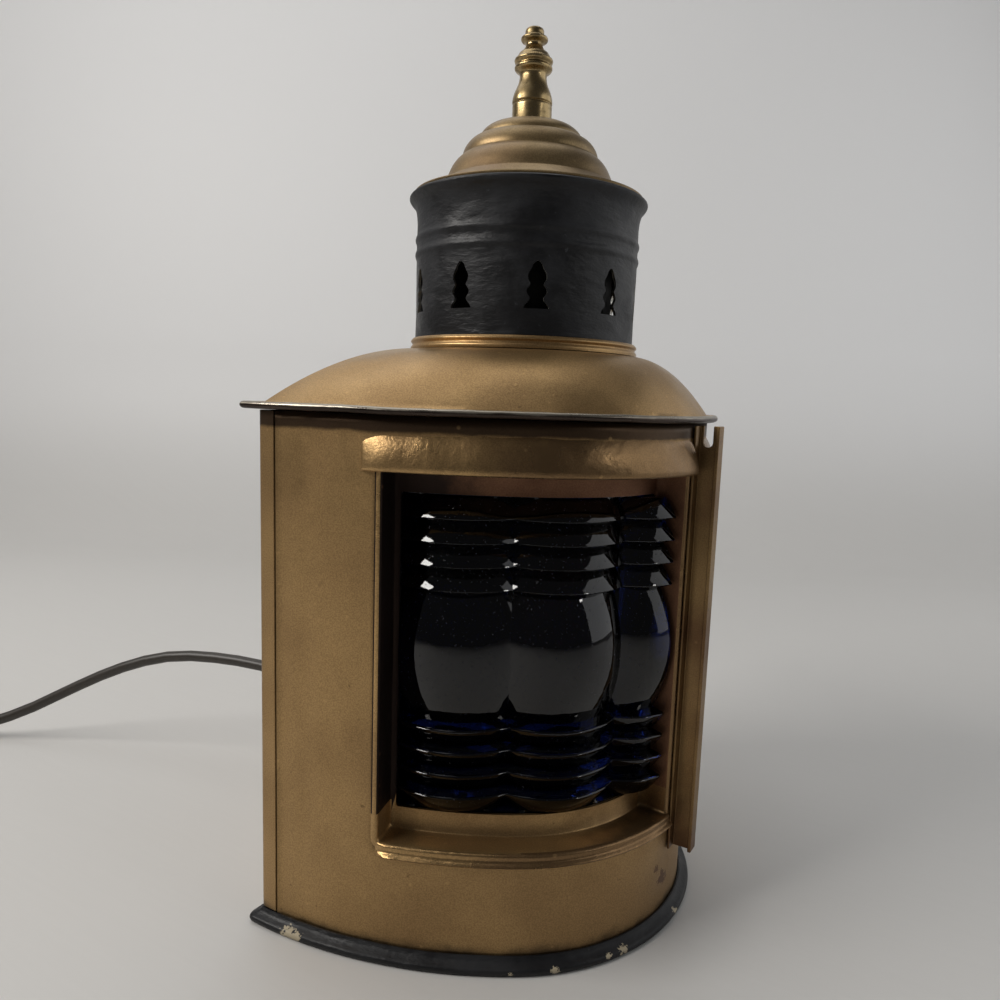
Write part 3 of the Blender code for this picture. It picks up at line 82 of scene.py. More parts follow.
def number(name, text, value):
    """A plain number property."""
    return FloatProperty(name=name, description=text, default=value)


def colour(name, text, value):
    """A colour property."""
    return FloatVectorProperty(name=name, description=text, default=value, subtype="COLOR",
                               size=3, min=0.0, max=1.0)


class CaseSizes(PropertyGroup):
    """The case's plan, wall and windows."""

    nose_radius: length("Nose radius", "Radius of the nose, outside the wall", 64.8)
    nose_angle: turn("Nose half angle", "Half the angle that the nose's arc spans", 56.0)
    side_radius: length("Side radius", "Radius of each side, outside the wall", 146.0)
    corner: length("Corner radius", "Radius of the rear corners", 1.2)
    wall: length("Wall", "Thickness of the case's sheet", 1.0)
    foot: length("Foot", "Height of the case's lower edge", 1.5)
    top: length("Top", "Height of the case's upper edge", 166.9)
    window_rear: length("Window rear", "Window's rear edge, along the wall from where the arcs meet", -44.0)
    window_front: length("Window front", "Window's front edge, along the wall", 57.0)
    window_low: length("Window bottom", "Height of the window's lower edge", 37.5)
    window_high: length("Window top", "Height of the window's upper edge", 152.0)
    reveal: length("Reveal", "Depth of the box that lines a window", 10.0)
    visor_reach: length("Visor reach", "How far the moulding over a window stands out", 3.4)
    visor_height: length("Visor height", "Height of the moulding over a window", 10.0)
    visor_overhang: length("Visor overhang", "How far it runs past the window's rear edge", 6.5)
    wave: length("Waviness", "How far the hand-worked sheet strays from its form", 0.14)
    spacing: length("Spacing", "Distance between the mesh's points along the wall", 2.0)


class LensSizes(PropertyGroup):
    """The pressed lenses."""

    middle: length("Middle", "Height of the bull's eye band's middle", 94.5)
    half_height: length("Half height", "Half the lens's whole height", 51.5)
    sight: length("Sight", "Half the height that shows in the window", 49.8)
    margin: length("Margin", "Flat edge hidden by the window's flange", 2.0)
    thickness: length("Thickness", "Thickness of the glass behind the flange", 6.8)
    first_valley: length("First valley", "Valley between the lobes, along the wall", -5.0)
    second_valley: length("Second valley", "Valley before the last lobe, along the wall", 38.0)
    root: length("Root", "Where the lobes start, from the wall", -14.2)
    lobe_rise: length("Lobe rise", "How far a lobe's middle stands out", 5.0)
    last_rise: length("Last lobe rise", "How far the last lobe bulges", 1.6)
    last_lift: length("Last lobe lift", "How far the last lobe climbs towards the nose", 8.2)
    ring_first: length("First ring", "Tip of the first ring, from the middle", 21.4)
    ring_pitch: length("Ring pitch", "Distance between ring tips", 7.15)
    ring_rise: length("Ring rise", "How far a ring's tip stands out", 4.2)
    bull_rise: length("Bull's eye rise", "How far the middle band bulges", 5.0)
    rings: IntProperty(name="Rings", description="Rings above and below the middle band", default=4)


class TopSizes(PropertyGroup):
    """The hood, chimney, cap and finial."""

    brim_low: length("Brim bottom", "Height of the brim's underside", 167.2)
    brim_reach: length("Brim reach", "How far the brim stands out at the sides", 3.4)
    brim_back: length("Brim back reach", "How far it stands out at the back", 7.0)
    brim_thick: length("Brim thickness", "Height of the rolled brim", 2.2)
    dome_foot: length("Dome foot", "Height where the dome starts", 169.0)
    dome_top: length("Dome top", "Height of the dome's shoulder", 188.0)
    dome_power: number("Dome fullness", "How full the dome's curve is", 1.9)
    shoulder: length("Shoulder radius", "Radius of the dome's round shoulder", 39.6)
    mouth: length("Mouth radius", "Radius of the hole under the chimney", 33.8)
    sheet: length("Sheet", "Thickness of the hood's and cap's sheet", 0.8)
    chimney_radius: length("Chimney radius", "Outside radius of the barrel", 38.0)
    chimney_top: length("Chimney top", "Height of the barrel's rim", 239.3)
    rim_radius: length("Rim radius", "Radius of the flared rim", 40.7)
    bead_low: length("Lower bead", "Height of the lower bead", 220.0)
    bead_high: length("Upper bead", "Height of the upper bead", 225.0)
    vent_low: length("Vent bottom", "Height of the vents' feet", 200.3)
    vent_height: length("Vent height", "Height of a vent", 14.2)
    vent_half: length("Vent half width", "Half the width of a vent's foot", 3.9)
    dent: length("Dents", "Depth of the dents in the barrel", 0.45)
    collar_radius: length("Collar radius", "Radius of the beaded collar", 39.5)
    collar_height: length("Collar height", "Height of the beaded collar", 3.9)
    cap_top: length("Cap top", "Height of the cap's crown", 264.2)
    finial_height: length("Finial height", "Height of the finial above the cap", 31.6)
    finial_radius: length("Finial radius", "Radius of the finial's foot", 6.8)


class LeadSizes(PropertyGroup):
    """The lead outside the case."""

    diameter: length("Diameter", "Diameter of the lead", 5.0)
    exit_height: length("Exit height", "Height where the lead leaves the back", 45.0)
    spacing: length("Spacing", "Distance between the free stretch's points", 12.5)
    coil_radius: length("Coil radius", "Radius of the coil's innermost turn", 21.0)
    coil_pitch: length("Coil pitch", "Distance between turns", 5.5)
    coil_dip: length("Coil dip", "How far the lead draws in where it changes layer", 1.0)
    coil_turns: number("Coil turns", "Turns in each of the two layers", 3.25)


class LanternColours(PropertyGroup):
    """Colours of the paints, metals and glass."""

    gold: colour("Gold", "Case and hood paint", (0.40, 0.255, 0.11))
    old_gold: colour("Old gold", "The cap's duller paint", (0.255, 0.182, 0.088))
    tarnish: colour("Tarnish", "Brown of worn gold paint", (0.115, 0.058, 0.03))
    black: colour("Black", "Chimney and base paint", (0.008, 0.008, 0.009))
    dust: colour("Dust", "Pale dust on the black paint", (0.034, 0.036, 0.041))
    tin: colour("Tin", "Bare tinned sheet", (0.55, 0.54, 0.5))
    brass: colour("Brass", "Plain brass", (0.55, 0.4, 0.17))
    old_brass: colour("Old brass", "The finial's aged brass", (0.38, 0.28, 0.14))
    blue: colour("Blue", "Starboard glass", (0.0008, 0.003, 0.026))
    red: colour("Red", "Port glass", (0.35, 0.008, 0.006))
    lead: colour("Lead", "The lead's brown sleeve", (0.033, 0.027, 0.021))


class StageSizes(PropertyGroup):
    """The camera, lights and floor."""

    focal: number("Focal length", "Focal length in mm, for a 36 mm sensor", 28.81)
    distance: length("Distance", "From the chimney's axis to the camera, level", 288.1)
    height: length("Height", "Camera's height", 173.1)
    bearing: turn("Bearing", "Turn of the camera round the lantern", 29.685)
    yaw: turn("Yaw", "Camera's turn to the side", -0.605)
    pitch: turn("Pitch", "Camera's tilt down", 7.799)
    roll: turn("Roll", "Camera's turn about its view", 2.015)
    shift_x: number("Shift X", "Lens shift to the side", -0.0091)
    shift_y: number("Shift Y", "Lens shift up", 0.0072)
    floor: colour("Floor", "Floor and backdrop", (0.60, 0.59, 0.57))
    wall: colour("Wall", "Backdrop behind the floor", (0.90, 0.90, 0.90))
    world: colour("World", "Dim light from all round", (0.06, 0.06, 0.063))


GROUPS = {
    "bow_case": CaseSizes,
    "bow_lens": LensSizes,
    "bow_top": TopSizes,
    "bow_lead": LeadSizes,
    "bow_colours": LanternColours,
    "bow_stage": StageSizes,
}


# Outlines

def spread(start, end, steps):
    """Evenly spaced values, both ends included."""
    return [start + (end - start) * i / steps for i in range(steps + 1)]


def smoothed(points, steps, ends=None):
    """More points, on a smooth curve through the given ones.

    ends are the points that the curve heads for past its own two ends.
    """
    first, last = ends or (points[0], points[-1])
    row = [first, *points, last]
    fine = []
    for a, b, c, d in zip(row, row[1:], row[2:], row[3:]):
        for step in range(steps):
            t = step / steps
            fine.append(tuple(
                0.5 * (2 * q + (r - p) * t + (2 * p - 5 * q + 4 * r - s) * t * t
                       + (3 * q - p - 3 * r + s) * t ** 3)
                for p, q, r, s in zip(a, b, c, d)))
    fine.append(tuple(points[-1]))
    return fine


def mm(*pairs):
    """Pairs of millimetres, in metres."""
    return [(a * MM, b * MM) for a, b in pairs]


def side_length(case):
    """Length of a side's arc, to the back."""
    return case.side_radius * (math.pi / 2 - case.nose_angle)


def nose_length(case):
    """Length of half the nose's arc."""
    return case.nose_radius * case.nose_angle


def side_centre(case):
    """Centre of the port side's arc. Its X is also where the case's back lies."""
    reach = case.nose_radius - case.side_radius
    return reach * math.cos(case.nose_angle), reach * math.sin(case.nose_angle)


def wall_point(case, side, along, offset, height):
    """A point on the case's wall, moved outward by the offset.

    along is the distance on the wall from where the side's arc meets the nose's.
    """
    if along >= 0:
        centre_x, centre_y, radius = 0.0, 0.0, case.nose_radius
    else:
        centre_x, centre_y = side_centre(case)
        radius = case.side_radius
    angle = case.nose_angle - along / radius
    reach = radius + offset
    across = side * (centre_y + reach * math.sin(angle))
    return Vector((centre_x + reach * math.cos(angle), across, height))


def stations(marks, spacing):
    """Distances between the marks, about the spacing apart, with a point on each mark."""
    places = []
    for low, high in zip(marks, marks[1:]):
        places += spread(low, high, max(1, round((high - low) / spacing)))[:-1]
    return places + [marks[-1]]


def case_outline(case, offset, height, back=None):
    """The case's closed outline, from the starboard rear corner round to port."""
    back = offset if back is None else back
    corner = max(0.5 * MM, case.corner + 0.3 * offset)
    centre_x, centre_y = side_centre(case)
    half_width = centre_y + case.side_radius + offset
    marks = (4 * MM - side_length(case), 0.0, nose_length(case))
    halves = []
    for side in (STARBOARD, PORT):
        half = []
        for bend in spread(0.0, math.pi / 2, 6):
            half.append(Vector((centre_x - back + corner - corner * math.cos(bend),
                                side * (half_width - corner + corner * math.sin(bend)), height)))
        half += [wall_point(case, side, along, offset, height) for along in stations(marks, case.spacing)]
        halves.append(half)
    return halves[0] + halves[1][-2::-1]


def window_outline(case, side, margin, offset, low=None, high=None):
    """A loop round a window on the wall, moved out from its edges by the margin.

    low and high are the loop's own heights, where the margin doesn't set them.
    """
    corner = max(0.8 * MM, 1.6 * MM + margin)
    rear, front = case.window_rear - margin, case.window_front + margin
    low = case.window_low - margin if low is None else low
    high = case.window_high + margin if high is None else high
    across = max(2, round((case.window_front - case.window_rear) / case.spacing))
    up = max(2, round((case.window_high - case.window_low) / (2 * case.spacing)))
    flat = []
    corners = ((front - corner, low + corner, -math.pi / 2), (front - corner, high - corner, 0.0),
               (rear + corner, high - corner, math.pi / 2), (rear + corner, low + corner, math.pi))
    for place, (along, height, start) in enumerate(corners):
        for bend in spread(start, start + math.pi / 2, 5):
            flat.append((along + corner * math.cos(bend), height + corner * math.sin(bend)))
        along, height, start = corners[(place + 1) % 4]
        end = (along + corner * math.cos(start), height + corner * math.sin(start))
        steps = up if place % 2 == 0 else across
        flat += zip(*(spread(here, there, steps)[1:-1] for here, there in zip(flat[-1], end)))
    return [wall_point(case, side, along, offset + ripple(case, along, height, 0.5), height)
            for along, height in flat]


def ripple(case, along, height, share=1.0):
    """How far hand-worked sheet strays at a place on the wall."""
    low = noise.noise(Vector((along * 22, height * 14, 0.3)))
    fine = noise.noise(Vector((along * 90, height * 60, 4.1)))
    return share * case.wave * (low + 0.3 * fine)


# Meshes

def sweep(work, loops, closed=True, ring=False, capped=False):
    """Skin a row of like loops, by extruding the first along the others.

    Two layers remember a point's number in its loop and its loop's number.
    """
    place = work.verts.layers.int.get("place") or work.verts.layers.int.new("place")
    row = work.verts.layers.int.get("row") or work.verts.layers.int.new("row")
    loops = loops + [loops[0]] if ring else loops
    verts = [work.verts.new(point) for point in loops[0]]
    for number, vert in enumerate(verts):
        vert[place] = number
    pairs = list(zip(verts, verts[1:]))
    if closed:
        pairs.append((verts[-1], verts[0]))
    edges = [work.edges.new(pair) for pair in pairs]
    if capped:
        bmesh.ops.edgeloop_fill(work, edges=edges)
    for number, loop in enumerate(loops[1:], 1):
        grown = bmesh.ops.extrude_edge_only(work, edges=edges)["geom"]
        fresh = {item for item in grown if isinstance(item, bmesh.types.BMVert)}
        for vert in fresh:
            vert.co = loop[vert[place]]
            vert[row] = number
        edges = [item for item in grown if isinstance(item, bmesh.types.BMEdge) and set(item.verts) <= fresh]
    if capped:
        bmesh.ops.edgeloop_fill(work, edges=edges)
    if ring:
        bmesh.ops.remove_doubles(work, verts=work.verts, dist=WELD)


def turned(work, profile, steps, closed=False):
    """Spin a profile of (radius, height) round Z."""
    verts = [work.verts.new((radius, 0.0, height)) for radius, height in profile]
    pairs = list(zip(verts, verts[1:]))
    if closed:
        pairs.append((verts[-1], verts[0]))
    edges = [work.edges.new(pair) for pair in pairs]
    bmesh.ops.spin(work, geom=verts + edges, cent=(0, 0, 0), axis=(0, 0, 1), angle=2 * math.pi,
                   steps=steps, use_merge=True, use_duplicate=False)
    bmesh.ops.remove_doubles(work, verts=work.verts, dist=WELD)


def placed(name, data):
    """A new object in the scene."""
    item = bpy.data.objects.new(name, data)
    bpy.context.scene.collection.objects.link(item)
    return item


def meshed(name, work, finishes):
    """Turn the work into an object with its finishes."""
    mesh = bpy.data.meshes.new(name)
    work.to_mesh(mesh)
    work.free()
    for finish in finishes:
        mesh.materials.append(bpy.data.materials[finish])
    return placed(name, mesh)


def finished(name, work, body, nodes, finishes, sharp=35.0, paint=None):
    """Make the piece: its mesh, its materials, what it stands for and what it rides on.

    paint(face) gives the number of the finish that a face takes.
    """
    bmesh.ops.recalc_face_normals(work, faces=work.faces)
    for face in work.faces:
        face.smooth = True
        face.material_index = paint(face) if paint else 0
    piece = meshed(name, work, finishes)
    for attribute in ("place", "row"):
        if attribute in piece.data.attributes:
            piece.data.attributes.remove(piece.data.attributes[attribute])
    piece.data.set_sharp_from_angle(angle=math.radians(sharp))
    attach(piece, body)
    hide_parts(*nodes)
    return piece


def radial(point):
    """The level direction from the chimney's axis to a point."""
    return point.xy.normalized().to_3d()


def refined(node, body, finish, width=0.25, sharp=40.0):
    """A welded copy of a CAD node with its edges eased, which stands for the node."""
    work = bmesh.new()
    work.from_mesh(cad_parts[node].data)
    bmesh.ops.remove_doubles(work, verts=work.verts, dist=2 * WELD)
    bmesh.ops.dissolve_limit(work, angle_limit=math.radians(0.5), verts=work.verts, edges=work.edges)
    piece = finished(node + "_finished", work, body, (node,), (finish,), sharp)
    if width:
        ease = piece.modifiers.new("eased edges", "BEVEL")
        ease.width = width * MM
        ease.segments = 2
        ease.limit_method = "ANGLE"
        ease.angle_limit = math.radians(sharp)
        ease.harden_normals = True
    return piece


# Shader helpers

class Wiring:
    """Short ways to place and join the nodes of one tree."""

    def __init__(self, tree):
        self.tree = tree

    def add(self, kind, inputs=None, **fields):
        """Place a node, set its fields, and set or join its inputs."""
        made = self.tree.nodes.new(kind)
        for field, value in fields.items():
            setattr(made, field, value)
        for key, value in (inputs or {}).items():
            self.feed(made.inputs[key], value)
        return made

    def feed(self, socket, value):
        """Join a socket to an output, or give it a plain value."""
        if isinstance(value, bpy.types.NodeSocket):
            self.tree.links.new(value, socket)
        else:
            socket.default_value = value

    def maths(self, operation, first, second=0.0):
        """One step of arithmetic."""
        return self.add("ShaderNodeMath", {0: first, 1: second}, operation=operation).outputs[0]

    def mixed(self, share, low, high):
        """A colour between two others."""
        inputs = {"Factor": share, "A": low, "B": high}
        made = self.add("ShaderNodeMix", data_type="RGBA")
        for socket in made.inputs:
            if socket.enabled and socket.name in inputs:
                self.feed(socket, inputs[socket.name])
        return next(socket for socket in made.outputs if socket.enabled)

    def eased(self, value, low, high, start=0.0, end=1.0):
        """A value that runs smoothly from start to end as another goes from low to high."""
        made = self.add("ShaderNodeMapRange", {"Value": value}, interpolation_type="SMOOTHSTEP")
        for label, number in (("From Min", low), ("From Max", high), ("To Min", start), ("To Max", end)):
            self.feed(made.inputs[label], number)
        return made.outputs[0]

    def noise(self, vector, scale, detail=3.0, rough=0.55):
        """A noise value at a scale per metre."""
        return self.add("ShaderNodeTexNoise", {"Vector": vector, "Scale": scale, "Detail": detail,
                                               "Roughness": rough}).outputs[0]

    def group(self, name, **inputs):
        """Place one of the shared groups."""
        made = self.add("ShaderNodeGroup", node_tree=bpy.data.node_groups[name])
        for label, value in inputs.items():
            self.feed(made.inputs[label], value)
        return made.outputs

    def patches(self, vector, scale, level, softness):
        """A mask of ragged islands."""
        return self.group("Patches", Vector=vector, Scale=scale, Level=level, Softness=softness)["Mask"]

    def over(self, paint, mask, amount, tint):
        """Lay a tint on a paint, as far as a mask and an amount let it."""
        return self.mixed(self.maths("MULTIPLY", mask, amount), paint, tint)

    def axes(self, vector):
        """A vector's three coordinates."""
        return self.add("ShaderNodeSeparateXYZ", {0: vector}).outputs


def toned(tone, share):
    """A tone made lighter or darker."""
    return [min(1.0, c * share) for c in tone]


def rgba(tone, share=1.0):
    """A tone made lighter or darker, with full alpha."""
    return (*toned(tone, share), 1.0)


def shared_group(name, inputs, outputs):
    """An empty node group with named sockets, ready to be wired."""
    tree = bpy.data.node_groups.new(name, "ShaderNodeTree")
    for label, kind, value in inputs:
        socket = tree.interface.new_socket(label, in_out="INPUT", socket_type="NodeSocket" + kind)
        if kind != "Vector":
            socket.default_value = value
    for label, kind in outputs:
        tree.interface.new_socket(label, in_out="OUTPUT", socket_type="NodeSocket" + kind)
    wiring = Wiring(tree)
    return wiring, wiring.add("NodeGroupInput").outputs, wiring.add("NodeGroupOutput").inputs


def make_patches():
    """Patches: a mask of ragged islands."""
    wiring, given, out = shared_group(
        "Patches", (("Vector", "Vector", None), ("Scale", "Float", 60.0), ("Level", "Float", 0.55),
                    ("Softness", "Float", 0.05)), (("Mask", "Float"),))
    field = wiring.noise(given["Vector"], given["Scale"], 6.0, 0.62)
    top = wiring.maths("ADD", given["Level"], given["Softness"])
    wiring.feed(out["Mask"], wiring.eased(field, given["Level"], top))


def make_fleck():
    """Fleck: the fine grain of metallic paint, and its rare bright specks."""
    wiring, given, out = shared_group(
        "Fleck", (("Vector", "Vector", None), ("Scale", "Float", 2600.0)),
        (("Grain", "Float"), ("Specks", "Float"), ("Height", "Float")))
    grain = wiring.eased(wiring.noise(given["Vector"], given["Scale"], 2.0), 0.34, 0.66)
    cells = wiring.add("ShaderNodeTexVoronoi", {"Vector": given["Vector"], "Randomness": 1.0},
                       feature="F1")
    wiring.feed(cells.inputs["Scale"], wiring.maths("MULTIPLY", given["Scale"], 0.12))
    draw = wiring.add("ShaderNodeSeparateColor", {0: cells.outputs["Color"]}).outputs[0]
    near = wiring.eased(cells.outputs["Distance"], 0.10, 0.22, 1.0, 0.0)
    specks = wiring.maths("MULTIPLY", wiring.eased(draw, 0.86, 0.88), near)
    wiring.feed(out["Grain"], grain)
    wiring.feed(out["Specks"], specks)
    wiring.feed(out["Height"], wiring.maths("ADD", wiring.maths("MULTIPLY", grain, 0.35), specks))


def make_spot():
    """Spot: a ragged mark at a place, such as a chip or a rust stain."""
    wiring, given, out = shared_group(
        "Spot", (("Vector", "Vector", None), ("Centre", "Vector", None), ("Radius", "Float", 0.004),
                 ("Ragged", "Float", 0.5)), (("Mask", "Float"),))
    away = wiring.add("ShaderNodeVectorMath", {0: given["Vector"], 1: given["Centre"]}, operation="DISTANCE")
    share = wiring.maths("DIVIDE", away.outputs["Value"], given["Radius"])
    scale = wiring.maths("DIVIDE", 1.6, given["Radius"])
    field = wiring.maths("SUBTRACT", wiring.noise(given["Vector"], scale, 4.0), 0.5)
    reach = wiring.maths("MULTIPLY", given["Ragged"], 4.0)
    ragged = wiring.maths("ADD", share, wiring.maths("MULTIPLY", field, reach))
    wiring.feed(out["Mask"], wiring.eased(ragged, 0.75, 1.05, 1.0, 0.0))


def new_material(name, metallic, roughness, **more):
    """A Principled material: its wiring, its object coordinates and its shader."""
    made = bpy.data.materials.new(name)
    made.use_nodes = True
    made.node_tree.nodes.clear()
    wiring = Wiring(made.node_tree)
    inputs = {label.replace("_", " "): value for label, value in more.items()}
    inputs |= {"Metallic": metallic, "Roughness": roughness}
    shader = wiring.add("ShaderNodeBsdfPrincipled", inputs)
    wiring.add("ShaderNodeOutputMaterial", {"Surface": shader.outputs[0]})
    return wiring, wiring.add("ShaderNodeTexCoord").outputs["Object"], shader


def bump(wiring, shader, height, distance, strength=1.0, below=None):
    """Give a shader relief, over any relief below it. distance is in millimetres."""
    made = wiring.add("ShaderNodeBump", {"Height": height, "Distance": distance * MM, "Strength": strength})
    if below:
        wiring.feed(made.inputs["Normal"], below)
    wiring.feed(shader.inputs["Normal"], made.outputs[0])
    return made.outputs[0]


def gold_paint(name, tone, tarnish, share, rough, stains=(), washes=(), sparkle=0.03, lumps=0.25):
    """Satin gold paint with its fleck, brown tarnish, ripples and any stains.

    A wash is a tone that comes in between two places along an axis, given in millimetres.
    """
    wiring, place, shader = new_material(name, 0.82, rough)
    fleck = wiring.group("Fleck", Vector=place, Scale=2400.0)
    paint = wiring.mixed(fleck["Grain"], rgba(tone, 0.82), rgba(tone, 1.14))
    clouds = wiring.eased(wiring.noise(place, 26.0, 4.0), 0.35, 0.7, 0.0, share)
    paint = wiring.mixed(clouds, paint, rgba(tarnish))
    paint = wiring.over(paint, wiring.patches(place, 300.0, 0.68, 0.05), 0.55, rgba(tarnish, 0.6))
    along = wiring.axes(place)
    stray = wiring.maths("SUBTRACT", wiring.noise(place, 110.0), 0.5)
    for axis, low, high, amount, tint in washes:
        reach = 1.5 * abs(high - low) * MM
        ragged = wiring.maths("ADD", along[axis], wiring.maths("MULTIPLY", stray, reach))
        band = wiring.eased(ragged, low * MM, high * MM, 0.0, amount)
        paint = wiring.mixed(band, paint, rgba(tint))
    for centre, radius, ragged, amount, tint in stains:
        mask = wiring.group("Spot", Vector=place, Centre=centre, Radius=radius, Ragged=ragged)["Mask"]
        paint = wiring.over(paint, mask, amount, rgba(tint))
    paint = wiring.over(paint, fleck["Specks"], 0.22, rgba(tone, 1.8))
    wiring.feed(shader.inputs["Base Color"], paint)
    dull = wiring.eased(wiring.noise(place, 55.0, 3.0), 0.3, 0.7, rough - 0.06, rough + 0.08)
    wiring.feed(shader.inputs["Roughness"], dull)
    soft = bump(wiring, shader, wiring.noise(place, 75.0, 2.0), lumps, 0.55)
    soft = bump(wiring, shader, wiring.noise(place, 420.0, 3.0), 0.3 * lumps, 0.5, soft)
    bump(wiring, shader, fleck["Height"], sparkle, 0.6, soft)


def black_paint(name, tone, dust, dusty, chips=None, marks=()):
    """Old black paint with dust, scuffs and chips down to the metal."""
    wiring, place, shader = new_material(name, 0.0, 0.5, Specular_IOR_Level=0.3)
    clouds = wiring.patches(place, 42.0, 0.40, 0.28)
    paint = wiring.over(rgba(tone), clouds, dusty, rgba(dust))
    paint = wiring.over(paint, wiring.patches(place, 340.0, 0.64, 0.1), 1.2 * dusty, rgba(dust, 1.8))
    if chips:
        bare, low, high, level = chips
        height = wiring.axes(place)["Z"]
        near = wiring.maths("MULTIPLY", wiring.eased(height, low, low + 0.4 * MM),
                            wiring.eased(height, high, high + 0.5 * MM, 1.0, 0.0))
        chip = wiring.maths("MULTIPLY", wiring.patches(place, 130.0, level, 0.02), near)
        for centre, radius in marks:
            spot = wiring.group("Spot", Vector=place, Centre=centre, Radius=radius, Ragged=0.8)["Mask"]
            chip = wiring.maths("MAXIMUM", chip, spot)
        paint = wiring.mixed(chip, paint, rgba(bare))
    wiring.feed(shader.inputs["Base Color"], paint)
    wiring.feed(shader.inputs["Roughness"], wiring.eased(clouds, 0.0, 1.0, 0.42, 0.6))
    strokes = wiring.add("ShaderNodeMapping", {"Vector": place, "Scale": (1.0, 1.0, 2.6)}).outputs[0]
    soft = bump(wiring, shader, wiring.noise(strokes, 110.0, 4.0), 0.8, 0.7)
    bump(wiring, shader, wiring.noise(place, 900.0, 3.0), 0.06, 0.6, soft)


def metal(name, tone, rough, stain=0.35, scale=90.0):
    """Bare metal with darker stains and fine turning marks."""
    wiring, place, shader = new_material(name, 1.0, rough)
    clouds = wiring.patches(place, scale, 0.42, 0.25)
    wiring.feed(shader.inputs["Base Color"], wiring.over(rgba(tone), clouds, stain, rgba(tone, 0.3)))
    wiring.feed(shader.inputs["Roughness"], wiring.eased(clouds, 0.0, 1.0, rough, rough + 0.18))
    bump(wiring, shader, wiring.noise(wiring.axes(place)["Z"], 5200.0, 1.0), 0.02, 0.3)


def glass(name, tone):
    """Dark pressed glass: faintly wavy, with a little dust."""
    wiring, place, shader = new_material(name, 0.0, 0.03, Base_Color=rgba(tone), Transmission_Weight=1.0,
                                         IOR=1.5, Specular_IOR_Level=0.4)
    dust = wiring.patches(place, 1100.0, 0.64, 0.03)
    wiring.feed(shader.inputs["Roughness"], wiring.eased(dust, 0.0, 1.0, 0.03, 0.35))
    soft = bump(wiring, shader, wiring.noise(place, 70.0, 3.0), 0.5, 0.35)
    bump(wiring, shader, dust, 0.04, 0.4, soft)


def plain(name, tone, rough, grain=300.0, relief=0.05, **more):
    """A plain solid stuff, such as rubber, card or porcelain, with its grain."""
    wiring, place, shader = new_material(name, 0.0, rough, **more)
    field = wiring.noise(place, grain, 4.0)
    paint = wiring.mixed(wiring.eased(field, 0.3, 0.7), rgba(tone, 0.8), rgba(tone, 1.15))
    wiring.feed(shader.inputs["Base Color"], paint)
    bump(wiring, shader, field, relief, 0.5)


CHIPS = (
    ((-0.0317, -0.0821, 0.0022), 0.0024), ((-0.0282, -0.0817, 0.0018), 0.0016),
    ((0.0618, -0.0302, 0.0024), 0.0016), ((0.0474, -0.0499, 0.0016), 0.0013),
    ((0.0589, -0.0355, 0.0022), 0.0010), ((0.0366, -0.0583, 0.0014), 0.0007),
    ((0.0688, -0.0022, 0.0024), 0.0013),
)


